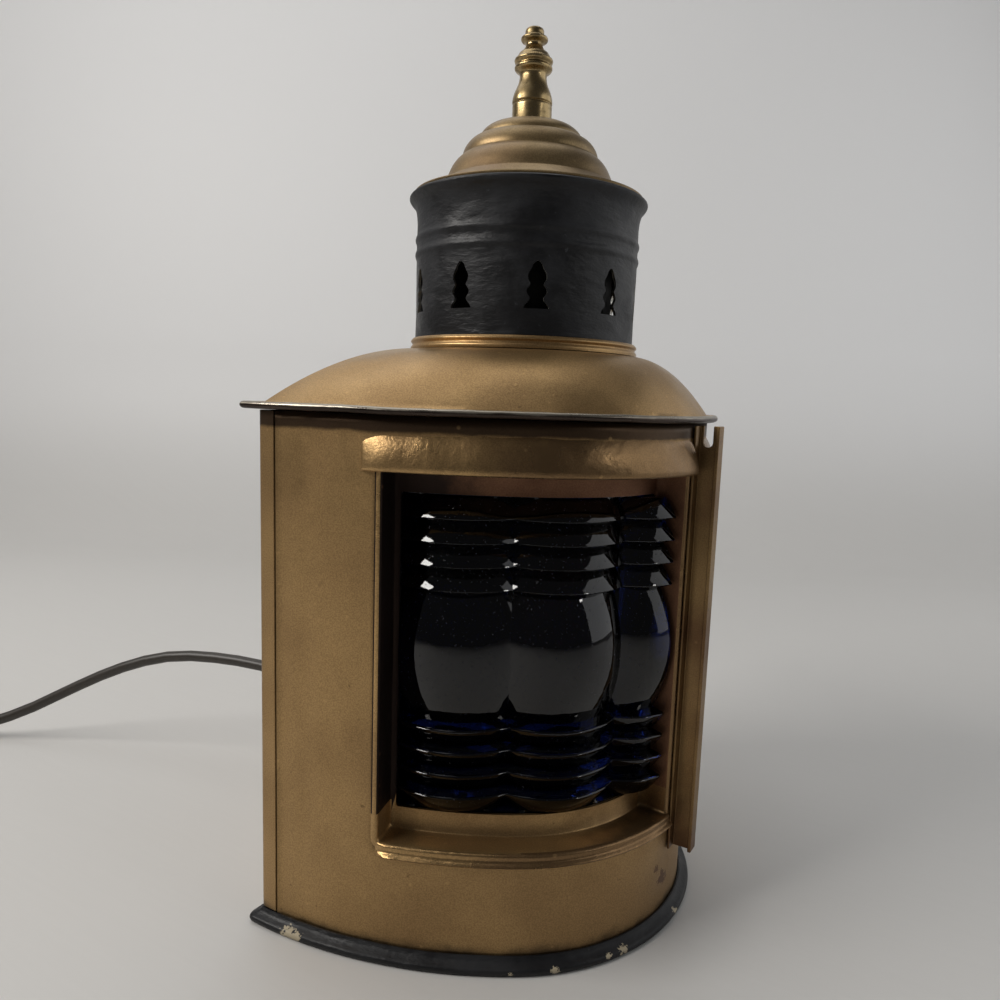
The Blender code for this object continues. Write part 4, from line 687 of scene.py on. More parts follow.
def make_materials(colours):
    """The shared groups, then every finish of the lantern."""
    make_patches()
    make_fleck()
    make_spot()
    rust = (0.09, 0.03, 0.012)
    # shade is the tone of a painted shadow that the brim casts on the wall's top
    shade = (0.03, 0.017, 0.012)
    # Case gold: the first wash lays the painted brim shadow along the wall's top; the second darkens the
    # wall towards its foot
    gold_paint("Case gold", colours.gold, colours.tarnish, 0.30, 0.42,
               stains=(((0.0646, -0.0056, 0.015), 0.0030, 0.9, 0.8, rust),
                       ((0.0639, -0.0107, 0.020), 0.0014, 0.9, 0.7, rust),
                       ((0.0217, -0.0646, 0.0130), 0.0011, 0.7, 0.7, rust)),
               washes=((2, 161.4, 162.8, 0.9, shade), (2, 8.5, 2.5, 0.8, (0.028, 0.022, 0.016))))
    gold_paint("Moulding gold", toned(colours.gold, 1.1), colours.tarnish, 0.35, 0.30,
               washes=((0, 16.0, 38.0, 0.55, (0.085, 0.045, 0.027)),), sparkle=0.05, lumps=0.9)
    gold_paint("Shelf gold", toned(colours.gold, 1.1), colours.tarnish, 0.3, 0.36,
               washes=((0, 40.0, 62.0, 0.6, (0.07, 0.036, 0.02)),))
    # Reveal brown: its wash takes the box to near black towards the window's rear, a painted shadow in the
    # deep recess
    gold_paint("Reveal brown", (0.19, 0.095, 0.052), (0.06, 0.024, 0.014), 0.6, 0.5,
               washes=((0, 26.0, 0.0, 0.93, (0.012, 0.008, 0.007)),))
    gold_paint("Fin gold", toned(colours.gold, 0.7), (0.09, 0.036, 0.02), 0.85, 0.42)
    gold_paint("Hood gold", colours.gold, colours.tarnish, 0.25, 0.38, sparkle=0.06)
    # Brim: the rolled bead's dark brown is painted shade under the roll; the pale wash along its top is a
    # painted highlight on paint worn thin
    gold_paint("Brim", (0.06, 0.043, 0.034), (0.02, 0.014, 0.011), 0.8, 0.3,
               washes=((2, 168.3, 169.0, 0.75, (0.42, 0.38, 0.31)),))
    gold_paint("Cap gold", colours.old_gold, toned(colours.tarnish, 1.2), 0.45, 0.42)
    black_paint("Chimney black", colours.black, colours.dust, 0.5)
    black_paint("Base black", colours.black, colours.dust, 0.25,
                ((0.42, 0.36, 0.25), 0.6 * MM, 3.2 * MM, 0.66), CHIPS)
    metal("Bare edge", colours.tin, 0.35, 0.5, 200.0)
    metal("Tin", toned(colours.tin, 0.8), 0.38, 0.6)
    # Tin darkened to near black: painted shade on the draught tube inside the chimney, seen through the
    # vents
    metal("Shaded tin", toned(colours.tin, 0.05), 0.6, 0.6)
    metal("Steel", colours.tin, 0.3)
    metal("Nickel", (0.62, 0.6, 0.56), 0.22)
    metal("Brass", colours.brass, 0.3)
    metal("Old brass", colours.old_brass, 0.27, 0.7, 240.0)
    glass("Blue glass", colours.blue)
    glass("Red glass", colours.red)
    plain("Frosted glass", (0.9, 0.88, 0.82), 0.45, relief=0.01, Transmission_Weight=0.6)
    plain("Card", (0.33, 0.22, 0.12), 0.9)
    plain("Porcelain", (0.75, 0.73, 0.68), 0.25, relief=0.01)
    plain("Knob", (0.018, 0.016, 0.015), 0.3, relief=0.01)
    plain("Relief rubber", (0.028, 0.025, 0.022), 0.6)
    plain("Lead brown", colours.lead, 0.42, grain=700.0, relief=0.03)


LIGHTS = (
    ("key", (-0.78, -0.30, 0.72), 0.62, 0.20, 6.8, (1.0, 0.97, 0.93)),
    ("panel", (0.80, 0.05, 0.42), 1.1, 0.8, 2.4, (0.98, 0.99, 1.0)),
    ("glint", (0.62, -0.42, 0.50), 0.07, 0.05, 0.16, (1.0, 0.98, 0.94)),
    ("sky", (-0.25, 0.35, 1.35), 1.2, 1.2, 6.6, (1.0, 1.0, 1.0)),
)


# Operators, one for each piece or group of like pieces

class LANTERN_OT_stage(Operator):
    """Make the floor, the lights and the camera"""

    bl_idname = "lantern.stage"
    bl_label = "Stage"

    def execute(self, context):
        scene = context.scene
        stage = scene.bow_stage
        turned_round = Matrix.Rotation(stage.bearing, 4, "Z")
        self.backdrop(stage, turned_round)
        world = bpy.data.worlds.new("Room")
        world.use_nodes = True
        world.node_tree.nodes["Background"].inputs["Color"].default_value = rgba(stage.world)
        scene.world = world
        target = Vector((0.0, 0.0, 0.15))
        for name, spot, wide, tall, power, tone in LIGHTS:
            light = bpy.data.lights.new(name, "AREA")
            light.shape = "RECTANGLE"
            light.size = wide
            light.size_y = tall
            light.energy = power
            light.color = tone
            lamp = placed(name, light)
            lamp.location = turned_round @ Vector(spot)
            lamp.rotation_euler = (lamp.location - target).to_track_quat("Z", "Y").to_euler()
        scene.view_settings.view_transform = "Standard"
        self.camera(scene, stage, turned_round)
        return {"FINISHED"}

    def backdrop(self, stage, turned_round):
        """A floor that bends up into a wall behind the lantern."""
        wiring, place, shader = new_material("Stage", 0.0, 0.55)
        streaks = wiring.add("ShaderNodeMapping", {"Vector": place, "Scale": (2.0, 60.0, 1.0)}).outputs[0]
        table = wiring.mixed(wiring.noise(streaks, 8.0, 2.0), rgba(stage.floor, 0.97), rgba(stage.floor))
        climb = wiring.eased(wiring.axes(place)["Z"], 0.0, 0.25)
        wiring.feed(shader.inputs["Base Color"], wiring.mixed(climb, table, rgba(stage.wall)))
        work = bmesh.new()
        bend = 0.22
        near, behind = -1.6, 0.75
        half_width, tall = 2.4, 1.8
        profile = [(near, 0.0), (behind - bend, 0.0)]
        profile += [(behind - bend + bend * math.sin(a), bend - bend * math.cos(a))
                    for a in spread(0.0, math.pi / 2, 12)[1:]]
        profile.append((behind, tall))
        loops = [[turned_round @ Vector((across, y, z - 0.02 * MM)) for y, z in profile]
                 for across in (-half_width, half_width)]
        sweep(work, loops, closed=False)
        for face in work.faces:
            face.smooth = True
        meshed("backdrop", work, ("Stage",))

    def camera(self, scene, stage, turned_round):
        """The photograph's viewpoint."""
        ahead = Vector((math.sin(stage.yaw) * math.cos(stage.pitch),
                        math.cos(stage.yaw) * math.cos(stage.pitch), -math.sin(stage.pitch)))
        right = Vector((math.cos(stage.yaw), -math.sin(stage.yaw), 0.0))
        level = Matrix((right, right.cross(ahead), -ahead)).transposed().to_4x4()
        camera = bpy.data.cameras.new("camera")
        camera.sensor_width = 36.0
        camera.lens = stage.focal
        camera.shift_x = stage.shift_x
        camera.shift_y = stage.shift_y
        camera.clip_start = 0.01
        scene.camera = placed("camera", camera)
        scene.camera.matrix_world = (
            turned_round @ Matrix.Translation((0.0, -stage.distance, stage.height))
            @ level @ Matrix.Rotation(stage.roll, 4, "Z"))


FREE_ROUTE_MM = (
    (-80.0, 0.0, 45.4), (-95.0, 0.0, 46.4), (-112.0, -0.8, 47.6), (-130.0, -3.2, 48.4),
    (-150.0, -7.6, 48.8), (-172.0, -14.0, 47.4), (-190.0, -20.6, 42.9), (-207.0, -28.0, 35.6),
    (-224.0, -36.4, 26.2), (-240.0, -45.4, 16.6), (-256.0, -54.8, 8.9), (-271.0, -63.7, 4.2),
    (-286.0, -72.6, 2.8),
)
FREE_END_MM = (-302.0, -82.1, 2.6)
COIL_STEPS = 24


def route(knots, spacing):
    """Evenly spaced points on a smooth curve through the knots."""
    ends = (2 * knots[0] - knots[1], 2 * knots[-1] - knots[-2])
    fine = [Vector(point) for point in smoothed(knots, 16, ends)]
    lengths = [0.0]
    for before, after in zip(fine, fine[1:]):
        lengths.append(lengths[-1] + (after - before).length)
    count = max(2, round(lengths[-1] / spacing))
    points = []
    place = 0
    for step in range(count + 1):
        goal = lengths[-1] * step / count
        while place < len(fine) - 2 and lengths[place + 1] < goal:
            place += 1
        share = (goal - lengths[place]) / max(lengths[place + 1] - lengths[place], 1e-9)
        points.append(fine[place].lerp(fine[place + 1], min(1.0, share)))
    return points


def coil(lead):
    """The put-away length: in along the floor, up a layer, and out again on top."""
    end = Vector(FREE_END_MM) * MM
    heading = (end - Vector(FREE_ROUTE_MM[-1]) * MM).xy.normalized()
    start = end.xy + heading * GAP
    across = Vector((-heading.y, heading.x))
    outer = lead.coil_radius + lead.coil_turns * lead.coil_pitch
    straight = start + heading * lead.diameter
    centre = straight + across * outer
    first = math.atan2(-across.y, -across.x)
    layer = lead.diameter / 2 + 0.1 * MM
    total = 2 * lead.coil_turns + 0.5
    points = [Vector((*start.lerp(straight, 0.55), layer))]
    count = round(total * COIL_STEPS)
    for step in range(count + 1):
        turns = total * step / count
        if turns <= lead.coil_turns:
            radius = outer - lead.coil_pitch * turns
            height = layer
        elif turns <= lead.coil_turns + 0.5:
            share = (turns - lead.coil_turns) / 0.5
            radius = lead.coil_radius - lead.coil_dip * math.sin(math.pi * share)
            height = layer + lead.coil_pitch * share
        else:
            radius = lead.coil_radius + lead.coil_pitch * (turns - lead.coil_turns - 0.5)
            height = layer + lead.coil_pitch
        angle = first + 2 * math.pi * turns
        flat = centre + radius * Vector((math.cos(angle), math.sin(angle)))
        points.append(Vector((*flat, height)))
    last = first + 2 * math.pi * total
    leave = Vector((-math.sin(last), math.cos(last), 0.0))
    points.append(points[-1] + leave * 0.55 * lead.diameter)
    points.append(points[-1] + leave * 0.45 * lead.diameter)
    return points


class LANTERN_OT_lead(Operator):
    """Make the lead from its bush to its plug"""

    bl_idname = "lantern.lead"
    bl_label = "Lead"

    def execute(self, context):
        lead = context.scene.bow_lead
        low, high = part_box("cord_relief")
        start = Vector((low.x, 0.0, lead.exit_height))
        knots = [start] + [Vector(point) * MM for point in (*FREE_ROUTE_MM, FREE_END_MM)]
        points = route(knots, lead.spacing) + coil(lead)
        curve = bpy.data.curves.new("lead", "CURVE")
        curve.dimensions = "3D"
        curve.bevel_depth = lead.diameter / 2
        curve.bevel_resolution = 5
        curve.use_fill_caps = True
        spline = curve.splines.new("POLY")
        spline.points.add(len(points) - 1)
        for point, place in zip(spline.points, points):
            point.co = (*place, 1.0)
        spline.use_smooth = True
        curve.materials.append(bpy.data.materials["Lead brown"])
        piece = placed("lead", curve)
        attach(piece, "lantern")
        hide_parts("cord", "cord_coil")
        plug = refined("plug", "lantern", "Lead brown", 0.5, 30.0)
        blades = [refined("plug_blade_" + side, "lantern", "Brass", 0.3)
                  for side in ("left", "right")]
        refined("inner_lead", "lantern", "Lead brown", 0.0, 60.0)
        self.bush(lead, low, high)
        return {"FINISHED"}

    def bush(self, lead, low, high):
        """The moulded bush, with grooves round its tapered tail."""
        work = bmesh.new()
        bore = lead.diameter / 2 + 0.15 * MM
        head = (high - low).z / 2
        tail = low.x
        flange = tail + 21.0 * MM
        profile = [(bore, tail), (bore + 0.9 * MM, tail)]
        for groove in range(5):
            at = tail + (2.5 + 3.2 * groove) * MM
            reach = bore + (1.0 + 0.22 * groove) * MM
            profile += [(reach + out, at + run)
                        for out, run in mm((0.0, 0.0), (-0.45, 0.4), (-0.45, 1.1), (0.1, 1.5))]
        neck = high.x - 2.0 * MM
        ease = 0.4 * MM
        profile += [(4.2 * MM, flange - 2.0 * MM), (head - ease, flange - 2.0 * MM),
                    (head, flange - 1.6 * MM), (head, flange), (4.6 * MM, flange), (4.6 * MM, neck),
                    (head, neck), (head, high.x - ease), (head - ease, high.x), (bore, high.x)]
        turned(work, profile, 32, closed=True)
        sideways = Matrix.Rotation(math.pi / 2, 3, "Y")
        bmesh.ops.rotate(work, verts=work.verts, cent=(0, 0, 0), matrix=sideways)
        bmesh.ops.translate(work, verts=work.verts, vec=(0.0, 0.0, lead.exit_height))
        finished("bush", work, "lantern", ("cord_relief",), ("Relief rubber",))


class LANTERN_OT_base(Operator):
    """Make the base with its rolled black rim"""

    bl_idname = "lantern.base"
    bl_label = "Base"

    def execute(self, context):
        case = context.scene.bow_case
        section = smoothed(mm((3.0, 0.0), (3.75, 0.5), (4.1, 1.5), (3.75, 2.4), (2.7, 2.95), (1.55, 3.7),
                              (0.85, 4.8)), 3)
        section += [(0.35 * MM, 4.8 * MM), (GAP, 1.2 * MM)]
        loops = []
        for offset, height in section:
            loop = []
            for point in case_outline(case, offset, height):
                stray = 0.25 * MM * noise.noise(point * 28) * min(1.0, height / (2 * MM))
                loop.append(point + Vector((0.0, 0.0, min(stray, 0.0))))
            loops.append(loop)
        work = bmesh.new()
        sweep(work, loops, capped=True)
        finished("base", work, "lantern", ("base_pan",), ("Base black",), 50.0)
        return {"FINISHED"}


# Width of the paint drawn up beside the back's lap, and an old crease's place and width on the wall
FILLET = 2.4 * MM
CREASE_PLACE = -69 * MM
CREASE_WIDTH = 2.6 * MM


class LANTERN_OT_case(Operator):
    """Make the bent sheet wall and the back"""

    bl_idname = "lantern.case"
    bl_label = "Case"

    def execute(self, context):
        case = context.scene.bow_case
        edge = case.wall + GAP
        rear, front = case.window_rear - edge, case.window_front + edge
        low, high = case.window_low - edge, case.window_high + edge
        lap = self.lap(case)
        half = [case.corner - side_length(case), lap - 0.05 * MM, lap, lap + 0.6 * MM, lap + 1.4 * MM]
        half += stations((lap + FILLET, rear, 0.0, front, nose_length(case)), case.spacing)
        columns = [(STARBOARD, along) for along in half] + [(PORT, along) for along in half[-2::-1]]
        heights = stations((case.foot, low, high, case.top), 1.5 * case.spacing)
        loops = [[wall_point(case, side, along, self.stray(case, side, along, height), height)
                  for side, along in columns] for height in heights]
        work = bmesh.new()
        sweep(work, loops, closed=False)
        place = work.verts.layers.int["place"]
        opened = []
        for face in work.faces:
            along = sum(columns[vert[place]][1] for vert in face.verts) / 4
            height = face.calc_center_median().z
            if rear < along < front and low < height < high:
                opened.append(face)
        bmesh.ops.delete(work, geom=opened, context="FACES")
        wall = finished("case_wall", work, "lantern", ("body_shell",), ("Case gold",))
        if wall.data.polygons[0].normal.dot(wall.data.polygons[0].center.xy.to_3d()) < 0:
            wall.data.flip_normals()
        sheet = wall.modifiers.new("sheet", "SOLIDIFY")
        sheet.thickness = case.wall
        sheet.offset = -1.0
        refined("back_plate", "lantern", "Case gold", 0.28)
        return {"FINISHED"}

    def stray(self, case, side, along, height):
        """How far the wall strays: its ripples, an old crease, and paint drawn up to the back's lap."""
        run = (along - self.lap(case)) / FILLET
        if run < 0:
            return 0.2 * MM
        stray = min(1.0, run) * ripple(case, along + side, height) + 0.6 * MM * max(0.0, 1 - run) ** 2
        if side == STARBOARD:
            depth = 0.4 * MM * (0.6 + noise.noise(Vector((0, 0, height * 30))))
            stray -= depth * math.exp(-((along - CREASE_PLACE) / CREASE_WIDTH) ** 2)
        return stray

    def lap(self, case):
        """Where the back's lap ends on the wall."""
        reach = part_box("back_plate")[1].x - side_centre(case)[0]
        return case.side_radius * (case.nose_angle - math.acos(reach / case.side_radius)) + GAP


class LANTERN_OT_windows(Operator):
    """Make the boxes that line the windows, with their mouldings"""

    bl_idname = "lantern.windows"
    bl_label = "Windows"

    def execute(self, context):
        case = context.scene.bow_case
        lens = context.scene.bow_lens
        sight = (lens.middle - lens.sight, lens.middle + lens.sight)
        fold = smoothed(mm((2.3, 0.0), (1.5, 0.32), (0.7, 0.36), (0.15, -0.1), (0.0, -1.0)), 3)
        box = mm((0.0, -3.0), (0.0, -6.0), (0.0, -9.6), (-0.4, -10.0))
        lip = mm((-2.0, -10.0), (-2.0, -11.0))
        skin = mm((1.0, -11.0), (1.0, -0.6), (2.3, -0.6))
        rows = ((fold + box, ()), (lip, sight), (skin, ()))
        for side, label in ((STARBOARD, "starboard"), (PORT, "port")):
            work = bmesh.new()
            loops = [window_outline(case, side, margin, offset, *heights)
                     for row, heights in rows for margin, offset in row]
            sweep(work, loops, ring=True)
            self.moulding(work, case, side, case.window_rear - case.visor_overhang, self.visor)
            self.moulding(work, case, side, case.window_rear - 0.6 * MM, self.sill)

            def paint(face, side=side):
                """Inside the box the paint is brown, with a painted shadow towards the rear, and it stays
                gold at the foot.
                """
                centre = face.calc_center_median()
                if centre.z > case.window_high + 0.5 * MM or not self.behind(case, side, centre):
                    return 0
                return 1 if centre.z > sight[0] + 2 * MM else 2

            finished(label + "_window_box", work, "lantern", (label + "_lens_frame",),
                     ("Moulding gold", "Reveal brown", "Shelf gold"), 50.0, paint)
            refined(label + "_lens_retainer", "lantern", "Tin", 0.0)
        return {"FINISHED"}

    def behind(self, case, side, point):
        """True if a point lies inside the wall's outer face."""
        if math.atan2(side * point.y, point.x) < case.nose_angle:
            return point.xy.length < case.nose_radius - 0.4 * MM
        centre_x, centre_y = side_centre(case)
        return (point.xy - Vector((centre_x, side * centre_y))).length < case.side_radius + 0.24 * MM

    def moulding(self, work, case, side, start, section):
        """Sweep a moulding's section along the wall. section(case, run) gives it at a distance run."""
        front = case.window_front + case.wall - 0.4 * MM
        curved_end = start + 1.2 * MM
        places = stations((start, curved_end), 0.3 * MM)[:-1]
        places += stations((curved_end, 0.0, front), case.spacing)
        loops = [[wall_point(case, side, along, offset, height)
                  for offset, height in section(case, along - start)] for along in places]
        sweep(work, loops, capped=True)

    def visor(self, case, run):
        """The rounded moulding over a window, drawn in at its rear end."""
        grow = min(1.0, run / case.visor_overhang)
        later = min(1.0, run / (5 * case.visor_overhang))
        share = 0.15 + 0.5 * math.sqrt(max(0.0, 1 - (1 - grow) ** 2)) + 0.35 * later
        along = case.window_rear - case.visor_overhang + run
        stray = noise.noise(Vector((along * 110, 1.7, 0.0)))
        reach = case.visor_reach * share + 0.28 * MM * stray * share
        low = case.window_high - case.wall
        tall = (case.visor_height + case.wall) * (0.66 + 0.34 * share) + 0.5 * MM * stray
        shape = ((-0.5, 0.0), (0.72, 0.0), (0.93, 0.03), (1.0, 0.09), (0.98, 0.2), (0.9, 0.33), (0.78, 0.48),
                 (0.6, 0.64), (0.38, 0.8), (0.17, 0.92), (0.0, 1.0), (-0.5, 1.0))
        return [(reach * out if out > 0 else 0.8 * MM * out, low + tall * up) for out, up in shape]

    def sill(self, case, run):
        """The two beads under a window, with a hollow between them."""
        share = min(1.0, 0.2 + run / (2.5 * MM))
        low = case.window_low - 3.5 * MM
        shape = ((-0.4, 3.9), (0.4, 3.9), (1.0, 3.6), (1.25, 3.1), (1.15, 2.4), (1.25, 1.8), (1.7, 1.35),
                 (2.2, 1.1), (2.5, 0.7), (2.3, 0.3), (1.6, 0.05), (-0.4, 0.0))
        return [(share * out * MM if out > 0 else out * MM, low + up * MM) for out, up in shape]


class LANTERN_OT_lenses(Operator):
    """Make the pressed glass lenses"""

    bl_idname = "lantern.lenses"
    bl_label = "Lenses"

    def execute(self, context):
        case = context.scene.bow_case
        lens = context.scene.bow_lens
        rear = case.window_rear + GAP
        front = case.window_front - GAP
        sight = (rear + lens.margin, front - lens.margin)
        marks = (sight[0], lens.first_valley, lens.second_valley, sight[1])
        rows = [(rear, 0.0), (sight[0] - 0.01 * MM, 0.0)]
        rows += [(along, 1.0) for along in stations(marks, 1.2 * MM)]
        rows += [(sight[1] + 0.01 * MM, 0.0), (front, 0.0)]
        for side, label, colour_name in ((STARBOARD, "starboard", "blue"), (PORT, "port", "red")):
            loops = [self.section(case, lens, side, along, raised) for along, raised in rows]
            work = bmesh.new()
            sweep(work, loops, capped=True)
            finished(label + "_pressed_lens", work, "lantern", (label + "_lens",),
                     (colour_name.capitalize() + " glass",), 38.0)
        return {"FINISHED"}

    def lobes(self, case, lens, along):
        """How far the three lobes stand out at a place along the wall."""
        edges = (case.window_rear + lens.margin, lens.first_valley, lens.second_valley,
                 case.window_front - lens.margin)
        rises = ((lens.lobe_rise, 0.0), (lens.lobe_rise, 0.0), (lens.last_rise, lens.last_lift))
        for low, high, (rise, lift) in zip(edges, edges[1:], rises):
            if low <= along <= high:
                share = (along - low) / (high - low)
                return lift * share + rise * (1 - (2 * share - 1) ** 2)
        return 0.0

    def profile(self, lens):
        """Heights over the middle and how far the rings stand out there."""
        band = lens.ring_first - 1.2 * MM
        above = [(height, lens.bull_rise * (1 - (height / band) ** 2)) for height in spread(0.0, band, 12)]
        run = lens.ring_pitch - 1.0 * MM
        for ring in range(lens.rings):
            tip = lens.ring_first + ring * lens.ring_pitch
            above += [(tip + lift * MM, share * lens.ring_rise)
                      for lift, share in ((-0.35, 0.80), (-0.1, 0.95), (0.25, 1.0), (0.7, 0.95))]
            above += [(tip + run * share, lens.ring_rise * (1 - share ** 1.25))
                      for share in (0.3, 0.5, 0.7, 0.87, 1.0)]
        return [(-height, rise) for height, rise in reversed(above[1:])] + above

    def section(self, case, lens, side, along, raised):
        """The lens's section at a place: its flat back, its hidden margins and its relief."""
        seat = -case.reveal - case.wall - GAP
        back = seat - lens.thickness
        top = lens.middle + lens.half_height
        bottom = lens.middle - lens.half_height
        step = lens.sight - GAP
        lobe = self.lobes(case, lens, along)
        points = [(back, top), (back, bottom), (seat, bottom), (seat, lens.middle - step)]
        for height, rise in self.profile(lens):
            stand = lens.root - seat + lobe + rise
            points.append((seat + raised * stand, lens.middle + height))
        points += [(seat, lens.middle + step), (seat, top)]
        return [wall_point(case, side, along, *point) for point in points]


class LANTERN_OT_fin(Operator):
    """Make the fin at the nose"""

    bl_idname = "lantern.fin"
    bl_label = "Fin"

    def execute(self, context):
        refined("bow_fin", "lantern", "Fin gold", 0.3)
        return {"FINISHED"}


class LANTERN_OT_hood(Operator):
    """Make the domed hood with its rolled brim"""

    bl_idname = "lantern.hood"
    bl_label = "Hood"

    def execute(self, context):
        case = context.scene.bow_case
        top = context.scene.bow_top
        shares = spread(0.0, 1.0, 26)
        loops = [self.dome(case, top, share, 0.0, top.shoulder, 0.0) for share in reversed(shares)]
        outside = len(loops)
        half = top.brim_thick / 2
        brim = [(1.0 * MM, 1.0 * MM, top.dome_foot - 0.2 * MM)]
        for bend in spread(math.radians(115), math.radians(-90), 12):
            drawn_in = half * (1 - math.cos(bend))
            brim.append((top.brim_reach - drawn_in, top.brim_back - drawn_in,
                         top.brim_low + half + half * math.sin(bend)))
        brim.append((-2.5 * MM, -2.5 * MM, top.brim_low))
        loops += [[self.wavy(point) for point in case_outline(case, out, height, back)]
                  for out, back, height in brim]
        brim_rows = len(loops)
        inner = top.shoulder - top.sheet
        loops += [self.dome(case, top, share, -2.5 * MM, inner, top.sheet) for share in shares]
        bearings = [math.atan2(point.y, point.x) for point in case_outline(case, 0.0, 0.0)]
        loops += [[Vector((top.mouth * math.cos(a), top.mouth * math.sin(a), height)) for a in bearings]
                  for height in (top.dome_top - top.sheet, top.dome_top)]
        work = bmesh.new()
        sweep(work, loops, ring=True)
        row = work.verts.layers.int["row"]

        def paint(face):
            """The rolled bead takes the Brim finish: painted shade on its lower part, and a painted
            highlight along its top on paint worn thin.
            """
            rows = [vert[row] for vert in face.verts]
            return 1 if min(rows) > outside and max(rows) < brim_rows else 0

        finished("hood_dome", work, "top", ("hood",), ("Hood gold", "Brim"), 40.0, paint)
        self.collar(top)
        return {"FINISHED"}

    def collar(self, top):
        """The beaded ring at the chimney's foot."""
        bore = top.chimney_radius + GAP
        foot = top.dome_top + GAP
        rise = top.collar_height / 4
        outer = smoothed([(top.collar_radius - narrow * MM, foot + step * rise)
                          for step, narrow in enumerate((0.0, 0.0, 0.6, 0.0, 0.7))], 5)
        work = bmesh.new()
        turned(work, [(bore, foot)] + outer + [(bore, foot + 4 * rise)], 96, closed=True)
        finished("collar", work, "top", ("hood_collar",), ("Hood gold",), 60.0)

    def wavy(self, point):
        """Let the brim stray up and down a little."""
        stray = 0.18 * MM * noise.noise(point * 45) + 0.12 * MM * noise.noise(point * 140)
        return point + Vector((0.0, 0.0, stray))

    def dome(self, case, top, share, offset, shoulder, drop):
        """A loop between the case's outline and the round shoulder."""
        height = top.dome_foot + (top.dome_top - top.dome_foot) * (1 - (1 - share) ** top.dome_power) - drop
        loop = []
        for point in case_outline(case, offset, height):
            angle = math.atan2(point.y, point.x)
            goal = Vector((shoulder * math.cos(angle), shoulder * math.sin(angle), height))
            at = point.lerp(goal, share)
            stray = 0.22 * MM * noise.noise(at * 30) * 4 * share * (1 - share)
            loop.append(at + Vector((0.0, 0.0, stray)))
        return loop


VENT_BEARINGS = (-15.5, -55.1, -92.5, -127.8, -163.2, -198.6, -234.0, -269.4, -304.8, -340.1)


class LANTERN_OT_chimney(Operator):
    """Make the black barrel with its vents"""

    bl_idname = "lantern.chimney"
    bl_label = "Chimney"

    def execute(self, context):
        top = context.scene.bow_top
        radius = top.chimney_radius
        rim = top.rim_radius
        high = top.chimney_top
        foot = top.dome_top + GAP
        outer = [(radius, height) for height in spread(foot, top.vent_low + top.vent_height + 1 * MM, 12)]
        for level in (top.bead_low, top.bead_high):
            outer += [(radius + 0.5 * MM * math.cos(bend) ** 2, level + 1.9 * MM * bend / (math.pi / 2))
                      for bend in spread(-math.pi / 2, math.pi / 2, 8)]
        flare = [(radius + out, high - down) for out, down in mm((0.0, 9.0), (0.25, 6.0), (0.9, 3.6))]
        flare += [(rim - out, high - down)
                  for out, down in mm((0.5, 1.9), (0.0, 1.1), (0.05, 0.45), (0.6, 0.0))]
        inner = [(rim - 1.6 * MM, high - 0.6 * MM), (radius - 0.1 * MM, high - 3.2 * MM)]
        wall = 1.0 * MM
        inner += [(radius - wall, height) for height in spread(high - 8 * MM, foot, 16)]
        work = bmesh.new()
        turned(work, outer + smoothed(flare, 3) + inner, 128, closed=True)
        for vert in work.verts:
            self.dent(top, vert)
        barrel = finished("barrel", work, "top", ("chimney",),
                          ("Chimney black", "Bare edge"), 40.0)
        cutter = self.vents(top)
        cut = barrel.modifiers.new("vents", "BOOLEAN")
        cut.object = cutter
        cut.solver = "EXACT"
        cut.material_mode = "TRANSFER"
        context.view_layer.update()
        graph = context.evaluated_depsgraph_get()
        barrel.data = bpy.data.meshes.new_from_object(barrel.evaluated_get(graph), depsgraph=graph)
        barrel.modifiers.clear()
        bpy.data.objects.remove(cutter)
        barrel.data.set_sharp_from_angle(angle=math.radians(40.0))
        # The draught tube takes the near-black tin, a painted shade behind the vents
        refined("draught_tube", "top", "Shaded tin", 0.0)
        return {"FINISHED"}

    def dent(self, top, vert):
        """Push a point in or out, and fade the beads where the barrel is worn."""
        share = min(1.0, (vert.co.z - top.dome_top) / (6 * MM), (top.chimney_top - vert.co.z) / (4 * MM))
        flat = radial(vert.co)
        low = noise.noise(Vector((flat.x * 1.6, flat.y * 1.6, vert.co.z * 40)))
        fine = noise.noise(Vector((flat.x * 6, flat.y * 6, vert.co.z * 160)))
        vert.co += flat * top.dent * max(0.0, share) * (min(low, 0.25) + 0.3 * min(fine, 0.2))

    def vents(self, top):
        """The cutter for ten upright vents, with a narrow head, two lobes and a flared foot."""
        shares = ((0.0, 1.0), (0.07, 0.9), (0.2, 0.54), (0.33, 0.79), (0.41, 0.76), (0.51, 0.53),
                  (0.62, 0.72), (0.73, 0.71), (0.84, 0.48), (0.93, 0.34), (1.0, 0.08))
        side = [(top.vent_half * wide, top.vent_height * up) for up, wide in shares]
        side = [side[0]] + smoothed(side[1:], 4)
        outline = side + [(-x, up) for x, up in reversed(side)]
        work = bmesh.new()
        start = top.chimney_radius - 3.5 * MM
        depth = Vector((6.5 * MM, 0.0, 0.0))
        for bearing in VENT_BEARINGS:
            round_axis = Matrix.Rotation(math.radians(bearing), 4, "Z")
            lean = 0.35 * MM * noise.noise(Vector((bearing, 0.4, 0.0))) / top.vent_height
            verts = [work.verts.new(round_axis @ Vector((start, x + lean * up, top.vent_low + up)))
                     for x, up in outline]
            face = work.faces.new(verts)
            grown = bmesh.ops.extrude_face_region(work, geom=[face])["geom"]
            fresh = [item for item in grown if isinstance(item, bmesh.types.BMVert)]
            bmesh.ops.translate(work, verts=fresh, vec=round_axis.to_3x3() @ depth)
        bmesh.ops.recalc_face_normals(work, faces=work.faces)
        return meshed("vents", work, ("Bare edge",))


